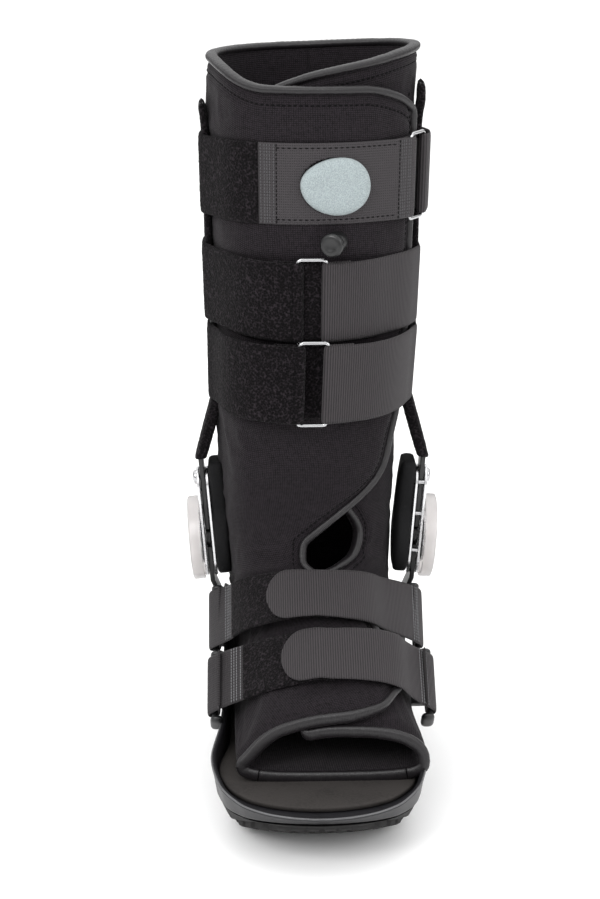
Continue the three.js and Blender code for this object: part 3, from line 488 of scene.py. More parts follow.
def material(name, color, roughness, **sockets):
    made = bpy.data.materials.new(name)
    made.use_nodes = True
    socket(made, "Base Color").default_value = (*color, 1)
    socket(made, "Roughness").default_value = roughness
    for key, value in sockets.items():
        socket(made, key.replace("_", " ")).default_value = value
    return made


def node(made, kind, inputs=None, **settings):
    new = made.node_tree.nodes.new(kind)
    for key, value in settings.items():
        setattr(new, key, value)
    for key, value in (inputs or {}).items():
        new.inputs[key].default_value = value
    return new


def link(made, source, target):
    made.node_tree.links.new(source, target)


def coordinates(made, kind):
    return node(made, "ShaderNodeTexCoord").outputs[kind]


def texture(made, kind, where, output, inputs, **settings):
    new = node(made, "ShaderNode" + kind, inputs, **settings)
    link(made, where, new.inputs["Vector"])
    return new.outputs[output]


def noise_of(made, where, scale, detail=3.0, rough=0.6, stretch=None):
    if stretch:
        where = texture(made, "Mapping", where, "Vector", {"Scale": stretch})
    return texture(made, "TexNoise", where, "Fac", {"Scale": scale, "Detail": detail, "Roughness": rough})


def ribs_of(made, where, pitch, axis, wobble):
    """Even ribs of that pitch in metres along one axis of the coordinates."""
    inputs = {"Scale": math.pi / 10 / pitch, "Distortion": wobble, "Detail": 2.0, "Detail Scale": 2.0}
    return texture(made, "TexWave", where, "Fac", inputs, wave_type="BANDS", bands_direction=axis)


def cells_of(made, where, scale):
    return texture(made, "TexVoronoi", where, "Distance", {"Scale": scale})


def mixed(made, a, b, mode="MULTIPLY"):
    new = node(made, "ShaderNodeMath", operation=mode)
    link(made, a, new.inputs[0])
    link(made, b, new.inputs[1])
    return new.outputs[0]


def ramp_of(made, value, stops):
    """Colour from a value through (position, colour) stops."""
    ramp = node(made, "ShaderNodeValToRGB")
    elements = ramp.color_ramp.elements
    while len(elements) < len(stops):
        elements.new(0.5)
    for element, (position, color) in zip(elements, stops):
        element.position = position
        element.color = (*color, 1)
    link(made, value, ramp.inputs["Fac"])
    return ramp.outputs["Color"]


def paint(made, value, stops):
    link(made, ramp_of(made, value, stops), socket(made, "Base Color"))


def roughen(made, value, low, high):
    spread = node(made, "ShaderNodeMapRange", {"To Min": low, "To Max": high})
    link(made, value, spread.inputs["Value"])
    link(made, spread.outputs["Result"], socket(made, "Roughness"))


def bump(made, value, strength, distance):
    """Adds relief to the shader's normal, over any that it has."""
    target = socket(made, "Normal")
    new = node(made, "ShaderNodeBump", {"Strength": strength, "Distance": distance})
    link(made, value, new.inputs["Height"])
    if target.is_linked:
        link(made, target.links[0].from_socket, new.inputs["Normal"])
    link(made, new.outputs["Normal"], target)


def tint(color, factor):
    return tuple(c * factor for c in color)


def make_knit():
    color = (0.0082, 0.0064, 0.0079)
    made = material("knit", color, 0.85, Sheen_Weight=0.05, Sheen_Roughness=0.4, Specular_IOR_Level=0.16)
    uv = coordinates(made, "UV")
    wales = ribs_of(made, uv, 0.0014, "X", 1.6)
    courses = ribs_of(made, uv, 0.0012, "Y", 1.6)
    knit = mixed(made, wales, courses)
    speckle = noise_of(made, coordinates(made, "Object"), 480, 4.0)
    paint(made, mixed(made, knit, speckle, "ADD"), [(0.35, tint(color, 0.15)), (1.05, tint(color, 2.2))])
    bump(made, knit, 0.6, 0.0005)
    bump(made, noise_of(made, coordinates(made, "Object"), 60, 3.0), 0.25, 0.0015)
    return made


def make_satin():
    color = (0.0095, 0.0082, 0.0094)
    made = material("satin", color, 0.32, Sheen_Weight=0.03, Sheen_Roughness=0.3, Specular_IOR_Level=0.4)
    uv = coordinates(made, "UV")
    weave = ribs_of(made, uv, 0.0009, "X", 0.8)
    cloud = noise_of(made, coordinates(made, "Object"), 220, 3.0)
    paint(made, mixed(made, weave, cloud), [(0.0, tint(color, 0.72)), (0.6, tint(color, 1.25))])
    roughen(made, cloud, 0.28, 0.46)
    bump(made, weave, 0.35, 0.0003)
    bump(made, cloud, 0.4, 0.0008)
    return made


def make_pile():
    color = (0.0042, 0.0034, 0.004)
    made = material("pile", color, 0.95, Sheen_Weight=0.03, Sheen_Roughness=0.6, Specular_IOR_Level=0.05)
    where = coordinates(made, "Object")
    loops = cells_of(made, where, 800)
    fluff = noise_of(made, where, 340, 5.0, 0.75)
    stops = [(0.06, tint(color, 0.2)), (0.26, color), (0.48, tint(color, 5.0))]
    paint(made, mixed(made, loops, fluff), stops)
    bump(made, loops, 0.8, 0.0007)
    bump(made, fluff, 0.7, 0.001)
    return made


def make_tape(name, color, pitch, cross_pitch=None):
    made = material(name, color, 0.7, Sheen_Weight=0.05, Sheen_Roughness=0.4, Specular_IOR_Level=0.25)
    uv = coordinates(made, "UV")
    ribs = ribs_of(made, uv, pitch, "X", 0.25)
    if cross_pitch:
        ribs = mixed(made, ribs, ribs_of(made, uv, cross_pitch, "Y", 0.3), "MAXIMUM")
    cloud = noise_of(made, coordinates(made, "Object"), 420, 5.0, 0.7)
    shade = mixed(made, ribs, cloud, "ADD")
    paint(made, shade, [(0.35, tint(color, 0.4)), (0.85, tint(color, 0.92)), (1.45, tint(color, 1.6))])
    roughen(made, cloud, 0.6, 0.85)
    bump(made, ribs, 0.6, 0.0005)
    bump(made, cloud, 0.2, 0.001)
    return made


def make_foam():
    color = (0.305, 0.35, 0.358)
    made = material("felt", color, 0.95, Sheen_Weight=0.1, Sheen_Roughness=0.6, Specular_IOR_Level=0.15)
    where = coordinates(made, "Object")
    speckle = noise_of(made, where, 1300, 4.0, 0.7)
    grains = cells_of(made, where, 1500)
    stops = [(0.08, tint(color, 0.72)), (0.25, color), (0.45, tint(color, 1.15))]
    paint(made, mixed(made, speckle, grains), stops)
    bump(made, speckle, 0.7, 0.0008)
    return made


def make_metal(name, color, low, high, stretch):
    made = material(name, color, low, Metallic=1.0)
    grain = noise_of(made, coordinates(made, "Object"), 300, 3.0, 0.6, stretch)
    roughen(made, grain, low, high)
    paint(made, grain, [(0.2, tint(color, 0.9)), (0.8, color)])
    bump(made, grain, 0.06, 0.0002)
    return made


def make_moulded(name, color, roughness, grain_scale, grain=0.15, **sockets):
    made = material(name, color, roughness, **sockets)
    where = coordinates(made, "Object")
    fine = noise_of(made, where, grain_scale, 3.0)
    cloud = noise_of(made, where, 40, 3.0)
    paint(made, mixed(made, fine, cloud, "ADD"), [(0.7, tint(color, 0.8)), (1.3, tint(color, 1.2))])
    roughen(made, cloud, roughness - 0.08, roughness + 0.1)
    bump(made, fine, grain, 0.0004)
    return made


def make_clear():
    color = (0.86, 0.83, 0.82)
    coat = {"Coat_Weight": 0.3, "Coat_Roughness": 0.2}
    made = material("milky", color, 0.32, Transmission_Weight=0.7, IOR=1.45, **coat)
    where = coordinates(made, "Object")
    cloud = noise_of(made, where, 70, 3.0)
    paint(made, cloud, [(0.3, tint(color, 0.93)), (0.7, color)])
    roughen(made, cloud, 0.26, 0.42)
    bump(made, noise_of(made, where, 500, 2.0), 0.06, 0.0003)
    return made


def make_thread(name, color):
    made = material(name, color, 0.7, Specular_IOR_Level=0.08)
    twist = noise_of(made, coordinates(made, "Object"), 2500, 2.0)
    paint(made, twist, [(0.3, tint(color, 0.75)), (0.7, tint(color, 1.15))])
    bump(made, twist, 0.4, 0.0002)
    return made


KNIT = make_knit()
SATIN = make_satin()
PILE_CLOTH = make_pile()
RIBBED = make_tape("ribbed", (0.0245, 0.0216, 0.0232), 0.00145)
WOVEN = make_tape("woven", (0.0245, 0.022, 0.0236), 0.0013, 0.0015)
WEBBING_CLOTH = make_tape("webbing", (0.0155, 0.0138, 0.015), 0.0013, 0.0015)
FELT = make_foam()
CHROME = make_metal("chrome", (0.5, 0.5, 0.51), 0.1, 0.22, (1, 1, 1))
STEEL = make_metal("steel", (0.72, 0.72, 0.73), 0.18, 0.36, (1, 1, 9))
COATED = make_moulded("coated", (0.007, 0.007, 0.0075), 0.38, 900)
BLACK = make_moulded("black_moulding", (0.007, 0.007, 0.0078), 0.4, 700, 0.2)
SHELL = make_moulded("shell", (0.0105, 0.0102, 0.0118), 0.42, 800, 0.12, Specular_IOR_Level=0.36)
# Much lighter than the shell: a painted highlight for the bright line along the shell's rim edge.
SHELL_RIM_HIGHLIGHT = make_moulded("shell_rim_highlight", (0.07, 0.07, 0.073), 0.34, 800, 0.12)
RUBBER = make_moulded("rubber", (0.010, 0.0094, 0.0094), 0.72, 500, 0.5, Specular_IOR_Level=0.3)
EVA = make_moulded("eva", (0.0235, 0.0208, 0.0195), 0.8, 650, 0.4, Specular_IOR_Level=0.25)
PAD_FOAM = make_moulded("pad", (0.006, 0.006, 0.0065), 0.85, 600, 0.5, Specular_IOR_Level=0.2)
VALVE_RUBBER = make_moulded("valve_rubber", (0.006, 0.006, 0.0064), 0.36, 500, 0.15)
CLEAR = make_clear()
LIGHT_THREAD = make_thread("light_thread", (0.15, 0.15, 0.155))
GREY_THREAD = make_thread("grey_thread", (0.085, 0.085, 0.088))
DARK_THREAD = make_thread("dark_thread", (0.0025, 0.0025, 0.0027))


# Padded liner
IN_BINDING = 0.8  # how far a panel stops short of its binding's middle
SEAM_TURN = -0.2  # the flaps lap a little at their seams, so no light shows through
RIM_STITCH = 8.5  # stitch line's distance from the rim
EDGE_STITCH = 5.0  # and from the other bound edges
EDGE_FILL = {"reach": 4.5, "thin": 0.38, "inner": 0.9}  # how the padding thins out to a bound edge
RIM_DIP = (1.4, 1.4)  # depth and reach of the hollow along the rim's stitch line
EDGE_DIP = (1.0, 1.4)
SEAM_DIP = (1.3, 1.8)
UNSEWN = 99.0  # distance from a free edge on a panel that has none
STRAP_ZONE = ((216, 224), (398, 404))  # heights where the ground under the calf straps starts and ends
STRAP_RELIEF = 0.2  # most relief there
CREASE = {"height": 1.1, "turn": 55, "stations": 3.4, "from": (4.1, 5.0), "to": (7.0, 8.2)}
SOFT = ((26.0, 0.5, 0), (9.0, 0.25, 5))  # size and height of the padding's unevenness, and a seed
FREE_REACH = (1, 8)  # distances from a calf strap over which the simulated liner comes free

outer_edge = table(OUTER_EDGE)
under_edge = table(UNDER_EDGE)
sole_half = table(SOLE_HALF)


def layer_at(turn):
    return LAYER * smooth_step(turn, *LAYER_TURNS)


def no_layer(turn):
    return np.zeros_like(np.asarray(turn, float))


def edge_turn(edge, at, distance):
    """Turn that lies a distance from a free edge, more where the edge runs aslant."""
    before, after, along = probed(at, edge(at))
    radius = form_at("half", at) + WALL
    sideways = np.radians(edge(after) - edge(before)) * radius
    return np.degrees(distance * np.hypot(1, sideways / along) / radius)


def dip(distance, depth, reach):
    return depth * np.exp(-((distance / reach) ** 2))


def flap_grid(flap, rows, columns):
    """Stations and turns over a flap, with its rim and toe edge bending the rows near them."""
    first, last = flap["first"], TOE
    nominal = np.repeat(np.linspace(first, last, rows)[:, None], columns, 1)
    column = np.linspace(0, 1, columns)[None]
    share = (nominal - first) / (last - first)
    at = nominal
    for _ in range(4):
        start, end = flap["start"](at), flap["end"](at)
        turn = start + (end - start) * column
        rim_shift = (flap["rim"](turn) - first) * (1 - share) ** PANEL_EASE
        at = np.clip(nominal + rim_shift + (flap["toe"](turn) - last) * share ** PANEL_EASE, 0, TOE)
    return at, turn


def ankle_creases(at, turn, seed):
    """Soft folds round the ankle and instep, deepest at the front."""
    where = np.stack([turn / CREASE["turn"], at * CREASE["stations"], np.zeros_like(at)], -1)
    ridge = 1 - 2 * np.abs(lumps(where, 1.0, seed))
    weight = smooth_step(at, *CREASE["from"]) * (1 - smooth_step(at, *CREASE["to"]))
    return ridge * weight * CREASE["height"]


def wrapped(turn):
    return np.mod(turn + 180, 360) - 180


def strap_height(spec, turn):
    heights = [(-180, spec["right"]), (-90, spec["left"]), (0, spec["front"]), (90, spec["right"]),
               (180, spec["right"])]
    return curve(heights, wrapped(turn))


def from_straps(z, turn):
    """Distance from the nearest calf strap's edge, negative under the strap."""
    return np.min([np.abs(z - strap_height(spec, turn)) for spec in CALF_STRAPS], axis=0) - CALF_STRAP / 2


def swelling(z, turn, seed):
    """How far the padding swells out beside the calf straps that press on it."""
    away = np.maximum(from_straps(z, turn), 0) / SWELL["reach"]
    where = np.stack([turn / SWELL["turn"], z / SWELL["z"], np.zeros_like(z)], -1)
    uneven = 1 + SWELL["uneven"] * lumps(where, 1.0, seed)
    return SWELL["height"] * away * np.exp(1 - away) * uneven


def liner_panel(name, flap, nodes, rows, columns, seed):
    """Makes a panel, thin along its edges and stitch lines, and returns a tree for laying things on it."""
    at, turn = flap_grid(flap, rows, columns)
    layer = flap["layer"](turn)
    base = surface(at, turn, layer + WALL)
    from_rim = arc_length(base)
    from_start = np.swapaxes(arc_length(np.swapaxes(base, 0, 1)), 0, 1)
    to_toe = from_rim[-1:] - from_rim
    to_end = from_start[:, -1:] - from_start
    free = {"start": from_start, "end": to_end}.get(flap["free"], np.full_like(at, UNSEWN))
    bound = np.minimum(free, to_toe)
    edge = np.minimum(bound, from_rim)
    puff = 1 - dip(edge, 1.0, EDGE_FILL["reach"])
    wall = WALL * (1 - EDGE_FILL["thin"] * (1 - puff))
    wall -= dip(from_rim - RIM_STITCH, *RIM_DIP) * flap["rim_seam"]
    wall -= dip(bound - EDGE_STITCH, *EDGE_DIP)
    seam = {"start": to_end, "end": from_start}.get(flap["free"], np.minimum(from_start, to_end))
    wall -= dip(seam, *SEAM_DIP)
    soft = sum(lumps(base, size, seed + own) * height for size, height, own in SOFT)
    z = base[..., 2]
    under_straps = smooth_step(z, *STRAP_ZONE[0]) * (1 - smooth_step(z, *STRAP_ZONE[1]))
    relief = (soft + ankle_creases(at, turn, seed)) * puff
    wall += np.where(under_straps > 0.5, np.minimum(relief, STRAP_RELIEF), relief)
    wall += swelling(z, turn, seed) * puff
    inner = EDGE_FILL["inner"] * (1 - puff)
    verts, faces = slab(surface(at, turn, layer + wall), surface(at, turn, layer + inner))
    held = 1 - smooth_step(from_straps(z, turn), *FREE_REACH) * puff
    held[:, [0, -1]] = 1
    held = np.concatenate([held.ravel(), np.ones(held.size)])
    verts = inflated(verts, faces, **LINER_CLOTH, hold=held)
    uv = np.stack([from_start, from_rim], -1).reshape(-1, 2)
    piece = build(name, verts, faces, KNIT, nodes, np.vstack([uv, uv]))
    return BVHTree.FromPolygons(verts.tolist(), faces)


def rim_of(rows, distance):
    return lambda turn: station_back(station_at(curve(rows, turn)), turn, -distance)


def toe_of(rows):
    return lambda turn: station_back(curve(rows, turn), turn, IN_BINDING)


FLAT_TOE = [(-180, TOE), (180, TOE)]


def add_liner():
    outer = {
        "first": 0, "layer": layer_at, "free": "end", "rim_seam": 1,
        "start": lambda at: -180 + sole_half(at) + SEAM_TURN,
        "end": lambda at: outer_edge(at) - edge_turn(outer_edge, at, IN_BINDING),
        "rim": rim_of(OUTER_RIM, IN_BINDING), "toe": toe_of(OUTER_TOE),
    }
    left = liner_panel("liner_left", outer, ("liner_left_shank", "liner_left_foot"), 190, 112, 3.1)
    under = {
        "first": 0, "layer": no_layer, "free": "start", "rim_seam": 1,
        "start": lambda at: under_edge(at) + edge_turn(under_edge, at, IN_BINDING),
        "end": lambda at: 180 - sole_half(at) - SEAM_TURN,
        "rim": rim_of(UNDER_RIM, IN_BINDING), "toe": toe_of(FLAT_TOE),
    }
    right = liner_panel("liner_right", under, ("liner_right_shank", "liner_right_foot"), 190, 100, 8.7)
    sole = {
        "first": SOLE_STARTS, "layer": no_layer, "free": None, "rim_seam": 0,
        "start": lambda at: 180 - sole_half(at) + SEAM_TURN,
        "end": lambda at: 180 + sole_half(at) - SEAM_TURN,
        "rim": lambda turn: np.full_like(turn, SOLE_STARTS), "toe": toe_of(FLAT_TOE),
    }
    liner_panel("liner_sole_sheet", sole, ("liner_sole",), 70, 36, 12.3)
    return left, right


# Edge bindings
BINDING = {
    "across": 2.5, "proud": 0.7, "sides": 18, "square": 0.85, "step": 1.1, "blur": 1.8,
    "pucker": 3.4, "pleat": 0.03, "uneven": 0.07,
}
HEM_PITCH = 3.2  # from one stitch to the next along a bound edge
BACK_PITCH = 2.2
BACK_LEAN = 0.45  # slant of the zigzag that joins the flaps at the back
HIT_FROM = 20.0  # how far off the liner a ray starts that finds its face


def binding_route(rim_rows, rim_turns, edge, edge_turn_at_rim, toe_rows, toe_turns, toe_gap):
    """Stations and turns round a flap: along the rim, down the free edge and along the toe edge."""
    turns = np.linspace(*rim_turns, 90)
    rim = np.column_stack([station_at(curve(rim_rows, turns)), turns])
    starts = station_at(curve(rim_rows, edge_turn_at_rim)) + 0.05
    ats = np.linspace(starts, curve(toe_rows, edge(TOE)) - toe_gap, 160)
    down = np.column_stack([ats, edge(ats)])
    turns = np.linspace(*toe_turns, 60)
    toe = np.column_stack([curve(toe_rows, turns), turns])
    return np.vstack([rim, down, toe])


def binding(name, route, layer, cad_node):
    at, turn = route.T
    points = surface(at, turn, layer(turn) + WALL / 2)
    points, out = resample(BINDING["step"], BINDING["blur"], points, out_of(at, turn))
    run = arc_length(points)
    sides = BINDING["sides"]
    pucker = np.sin(2 * np.pi * run / BINDING["pucker"]) * BINDING["pleat"]
    pucker = pucker + lumps(points, 7.0, 2.0) * BINDING["uneven"]
    wide, high = BINDING["across"] * (1 + pucker), (WALL / 2 + BINDING["proud"]) * (1 + pucker / 2)
    verts, faces = loft(tube(points, out, wide, high, sides, BINDING["square"]))
    uv = np.stack(np.broadcast_arrays(run[:, None], np.linspace(0, sides, sides)[None]), -1)
    build(name, verts, faces, SATIN, (cad_node,), uv)


def line_on_form(trees, at, turn, layer, pitch):
    """Places for a line of stitches that lies on the outer face of liner panels."""
    points, out = resample(pitch, 0.0, surface(at, turn, layer + WALL / 2), out_of(at, turn))
    ahead, out = ahead_of(points), unit(out)
    for i, (point, way) in enumerate(zip(points.copy(), out)):
        for tree in trees:
            hit = tree.ray_cast(Vector(point + way * HIT_FROM), Vector(-way), HIT_FROM + 5)[0]
            if hit is not None and (np.array(hit) - points[i]) @ way > 0:
                points[i] = hit
    return points, ahead, out


def add_bindings(liner):
    half = float(sole_half(TOE))
    corner = 180 - half - 0.6
    outer = binding_route(OUTER_RIM, (-180.3, 59), outer_edge, 60, OUTER_TOE, (43.5, -corner), -0.03)
    under = binding_route(UNDER_RIM, (180.3, -24.8), under_edge, -26, FLAT_TOE, (-24, corner), 0.08)
    binding("binding_outer_flap", outer, layer_at, "binding_left")
    binding("binding_under_flap", under, no_layer, "binding_right")
    turns = np.linspace(180 - half + 0.4, 180 + half - 0.4, 60)
    binding("binding_sole_edge", np.column_stack([np.full(60, TOE), turns]), no_layer, "binding_sole")
    places = []
    outer_tree, under_tree = liner
    rims = ((OUTER_RIM, -170, 54, layer_at, outer_tree), (UNDER_RIM, -22, 170, no_layer, under_tree))
    for rows, low, high, layer, tree in rims:
        turns = np.linspace(low, high, 160)
        at = rim_of(rows, RIM_STITCH)(turns)
        places.append(line_on_form([tree], at, turns, layer(turns), HEM_PITCH))
    edges = ((outer_edge, -1, 0.6, 10.2, layer_at, outer_tree),
             (under_edge, 1, 4.6, 10.7, no_layer, under_tree))
    for edge, way, low, high, layer, tree in edges:
        at = np.linspace(low, high, 220)
        turn = edge(at) + way * edge_turn(edge, at, EDGE_STITCH)
        places.append(line_on_form([tree], at, turn, layer(turn), HEM_PITCH))
    stitches("liner_stitches", places, DARK_THREAD, length=2.3, thick=0.9)
    at = np.linspace(0.15, SOLE_STARTS - 0.1, 240)
    points, ahead, out = line_on_form(liner, at, np.full_like(at, 180.0), 0, BACK_PITCH)
    lean = np.where(np.arange(len(points)) % 2, BACK_LEAN, -BACK_LEAN)[:, None]
    zigzag = [(points, unit(np.array([1.0, 0.0, 0.0]) + ahead * lean), out)]
    stitches("back_seam_stitches", zigzag, LIGHT_THREAD, length=5.2, thick=0.7)


# Straps, each on a path of points and width directions
PILE_BAND = (PILE, PILE_CLOTH, "loop_pile")
TAPE_BAND = (TAPE, RIBBED, "ribbed_tape")
WOVEN_BAND = (TAPE, WOVEN, "ribbed_tape")
WEBBING_BAND = (TAPE, WEBBING_CLOTH, "ribbed_tape")
PILE_FUZZ = 0.28
BAND_BUNCH = 0.35  # how much a band's columns bunch towards its edges
BAND_EDGE = 14  # the higher, the squarer a band's edges
HEM_STITCH = {"columns": 1, "spacing": 1, "rows": 18, "margin": 1.6}
RETURN_STITCH = {"columns": 1, "spacing": 1, "rows": 16, "margin": 2}
PANEL_STITCH = {"columns": 5, "spacing": 1.9, "rows": 24, "margin": 1.6}
FOOT_STITCH = {"columns": 4, "spacing": 2.3, "rows": 19, "margin": 1.6}


def band_rings(points, across, width, thick, columns, share, fuzz, seed):
    """Rings of a flat band with rounded edges, and the matching places along and across it."""
    out = unit(np.cross(ahead_of(points), across))
    s = np.linspace(-1, 1, columns) * (1 - BAND_BUNCH)
    s = np.sin(np.linspace(-np.pi / 2, np.pi / 2, columns)) * BAND_BUNCH + s
    height = (1 - np.abs(s) ** BAND_EDGE) ** 0.5 * thick / 2
    s = np.concatenate([s, s[-2:0:-1]])
    height = np.concatenate([height, -height[-2:0:-1]])
    half = np.broadcast_to(share, len(points))[:, None, None] * width / 2
    rings = points[:, None] + across[:, None] * s[None, :, None] * half
    rings = rings + out[:, None] * height[None, :, None]
    if fuzz:
        rough = lumps(rings, 1.7, seed) + 0.6 * lumps(rings, 0.9, seed + 3)
        rings = rings + out[:, None] * (np.sign(height)[None] * rough * fuzz)[..., None]
    run = np.broadcast_to(arc_length(points)[:, None], rings.shape[:2])
    uv = np.stack([run, np.broadcast_to(s[None] * width / 2, rings.shape[:2])], -1)
    return rings, uv


def strap(name, path, width, band, nodes, columns, share=1.0, fuzz=0.0, window=None):
    thick, cloth, slot = band
    rings, uv = band_rings(*path, width, thick, columns, share, fuzz, len(name))
    verts, faces = loft(rings)
    if window is not None:
        faces = cut_window(rings, faces, columns, window)
    piece = build(name, verts, faces, cloth, nodes, uv)


def cut_window(rings, faces, columns, window):
    """Faces of a band without those in a window, and with walls round the hole."""
    around = rings.shape[1]
    far = (around - np.arange(around)) % around
    inside = window((rings + rings[:, far]) / 2).ravel()
    kept = [face for face in faces if len(face) > 4 or not any(inside[v] for v in face)]
    open_edges = set()
    for face in kept:
        for a, b in zip(face, face[1:] + face[:1]):
            if (b, a) in open_edges:
                open_edges.remove((b, a))
            else:
                open_edges.add((a, b))

    def across_band(v):
        return v - v % around + int(far[v % around])

    top = [(a, b) for a, b in sorted(open_edges) if a % around < columns]
    return kept + [(b, a, across_band(a), across_band(b)) for a, b in top]


STITCH_PROUD = 0.1


def stitch_block(path, width, thick, facing, start, columns, spacing, rows, margin):
    """Places for columns of short stitches across a band, from a distance along it."""
    points, across = path
    run = arc_length(points)
    out = unit(np.cross(ahead_of(points), across)) * facing
    v = np.linspace(-width / 2 + margin, width / 2 - margin, rows)[:, None]
    places = []
    for k in range(columns):
        i = np.searchsorted(run, start + k * spacing)
        where = points[i] + across[i] * v + out[i] * (thick / 2 + STITCH_PROUD)
        places.append((where, np.repeat(across[i][None], rows, 0), np.repeat(out[i][None], rows, 0)))
    return places


def stitch_run(path, thick, start, end, height, pitch):
    """Places for one line of stitches along a band."""
    points, across = path
    run = arc_length(points)
    at = np.arange(start, end, pitch)

    def pick(values):
        return np.column_stack([np.interp(at, run, column) for column in values.T])

    ahead = unit(pick(ahead_of(points)))
    wide = unit(pick(across))
    out = unit(np.cross(ahead, wide))
    return pick(points) + wide * height + out * (thick / 2 + STITCH_PROUD), ahead, out


def taut_bed(z):
    """How far out of the hollow a taut strap lies at each turn, over both flaps and the upright bars."""
    at = station_at(z)
    outer = np.linspace(-180, outer_edge(at), 140)
    under = np.linspace(under_edge(at), 180, 120)
    clear = WALL + BED_CLEAR
    flaps = np.vstack([surface(at, outer, layer_at(outer) + clear), surface(at, under, clear)])
    x = float(curve(UPPER_BAR_LINE, z)) + BAR["thick"] / 2 + BED_CLEAR
    bars = [(way * x, HINGE["y"] + end * BAR["width"] / 2) for way in (-1, 1) for end in (-1, 1)]
    points = np.vstack([flaps[:, :2], bars])
    hull = points[convex_hull_2d([Vector(point) for point in points])]
    edge = np.roll(hull, -1, 0) - hull
    start = surface(at, BED_TURNS, 0)[:, None, :2]
    way = surface(at, BED_TURNS, 1)[:, None, :2] - start

    def crossed(a, b):
        return a[..., 0] * b[..., 1] - a[..., 1] * b[..., 0]

    slant = crossed(way, edge)
    slant = np.where(np.abs(slant) < 1e-9, 1e-9, slant)
    far = crossed(hull - start, edge) / slant
    share = crossed(hull - start, way) / slant
    return np.where((share >= -1e-6) & (share <= 1 + 1e-6), far, 0).max(1)


BEDS = {spec["name"]: taut_bed(spec["front"]) for spec in CALF_STRAPS}


def bed(spec, turn):
    return np.interp(wrapped(turn), BED_TURNS, BEDS[spec["name"]])


def calf_path(spec, stations):
    """Points and width directions of a calf strap at rows of (turn, offset)."""
    turn, offset = np.array(stations, float).T
    z = strap_height(spec, turn)
    points = surface(station_at(z), turn, offset)
    above = surface(station_at(z + CALF_STRAP / 2), turn, offset)
    below = surface(station_at(z - CALF_STRAP / 2), turn, offset)
    return points, unit(above - below)


def fold_radius(thick):
    return WIRE / 2 + GAP + thick / 2


def bar_offset(spec):
    return float(bed(spec, 0)) + PILE / 2 + fold_radius(PILE) + spec["lift"]


def ring_places(spec):
    roundness = float(form_at("half", station_at(spec["front"]))) + bar_offset(spec)
    spread = math.degrees(RING_BAR / roundness)
    return roundness, spec["ring"] - spread, spec["ring"] + spread


def folded_start(spec, bar_turn, thick, way):
    """A band's sewn-back end, its turn round a ring's bar and the first stretch away from the ring."""
    roundness = ring_places(spec)[0]
    radius, offset = fold_radius(thick), bar_offset(spec)
    inside = [(bar_turn + way * back, offset - radius) for back in np.linspace(RETURN_TURN, 2, 8)]
    half_turn = np.radians(np.linspace(-90, 90, 25))
    fold = [(bar_turn - way * math.degrees(radius * math.cos(a)) / roundness, offset + radius * math.sin(a))
            for a in half_turn]
    backs = np.linspace(2, RETURN_TURN + 1, 8)
    drops = curve([(2, 0), (RETURN_TURN / 2, -0.6), (RETURN_TURN + 1, -1.4)], backs)
    return inside + fold + [(bar_turn + way * b, offset + radius + d) for b, d in zip(backs, drops)]


def even(spec, stations, step=1.0):
    return resample(step, 0.9, *calf_path(spec, stations))


def wire_ring(spec):
    _, left, right = ring_places(spec)
    bars, up = calf_path(spec, [(left, bar_offset(spec)), (right, bar_offset(spec))])
    along, up = unit(bars[1] - bars[0]), unit(up.mean(0))
    corner = np.array([RING_BAR, CALF_STRAP / 2 + GAP + WIRE / 2]) - RING_CORNER
    line = []
    for a, u, start in ((1, 1, 0), (-1, 1, 90), (-1, -1, 180), (1, -1, 270)):
        angle = np.radians(np.linspace(start, start + 90, 9))
        line.append(corner * (a, u) + RING_CORNER * np.column_stack([np.cos(angle), np.sin(angle)]))
    points = bars.mean(0) + np.vstack(line) @ np.array([along, up])
    points, = resample(0.9, 0.0, np.vstack([points, points[:1]]))
    verts, faces = closed_wire(points[:-1], unit(np.cross(along, up)), WIRE / 2, 16)
    build(spec["name"] + "_wire", verts, faces, CHROME, (spec["name"] + "_ring",))


def add_calf_strap(spec, places, light_places):
    name = spec["name"]
    _, left, right = ring_places(spec)
    settle = SETTLE + 4 * max(spec["lift"], 0)

    def run(start, end, thick, count):
        turn = np.linspace(start, end, count)
        over = (PILE + 2 * GAP) * smooth_step(turn, *OVER_PILE)
        return list(zip(turn, bed(spec, turn) + thick / 2 + over))

    def away(bar_turn, end, thick, way):
        """A folded start and the band's way from it, easing down to its bed."""
        start = folded_start(spec, bar_turn, thick, way)
        turn, offset = start[-1]
        flat = np.array(run(turn + way, end, thick, 140))
        high = offset - run(turn, turn, thick, 1)[0][1]
        flat[:, 1] += high * (1 - smooth_step(np.abs(flat[:, 0] - turn), 0, settle))
        return start + [tuple(row) for row in flat]

    on_top = name == "top_strap"
    pile = run(PANEL_STARTS - 0.05, PILE_ENDS, PILE, 140) if on_top else away(left, PILE_ENDS, PILE, -1)
    path = even(spec, pile)
    strap(name + "_loop_pile", path, CALF_STRAP, PILE_BAND, (name + "_pile",), 46, fuzz=PILE_FUZZ)
    if not on_top:
        places += stitch_block(path, CALF_STRAP, PILE + 0.2, -1, RETURN_SEAM, **RETURN_STITCH)
        under = run(left - KEEPER["past"], right + KEEPER["past"], PILE, 20)
        sunk = even(spec, [(turn, offset - KEEPER["sink"]) for turn, offset in under])
        strap(name + "_keeper", sunk, CALF_STRAP, PILE_BAND, (), 30, fuzz=KEEPER["fuzz"])
    path = even(spec, away(right, right + SETTLE + spec["tail"], TAPE, 1))
    strap(name + "_tape", path, CALF_STRAP, TAPE_BAND, (name + "_tail",), 24)
    wire_ring(spec)
    if on_top:
        add_panel(spec, left, run, places, light_places)
        add_pump()


PUMP_AT = station_at(PUMP["z"])
PUMP_OUT = out_of(PUMP_AT, PUMP["turn"])


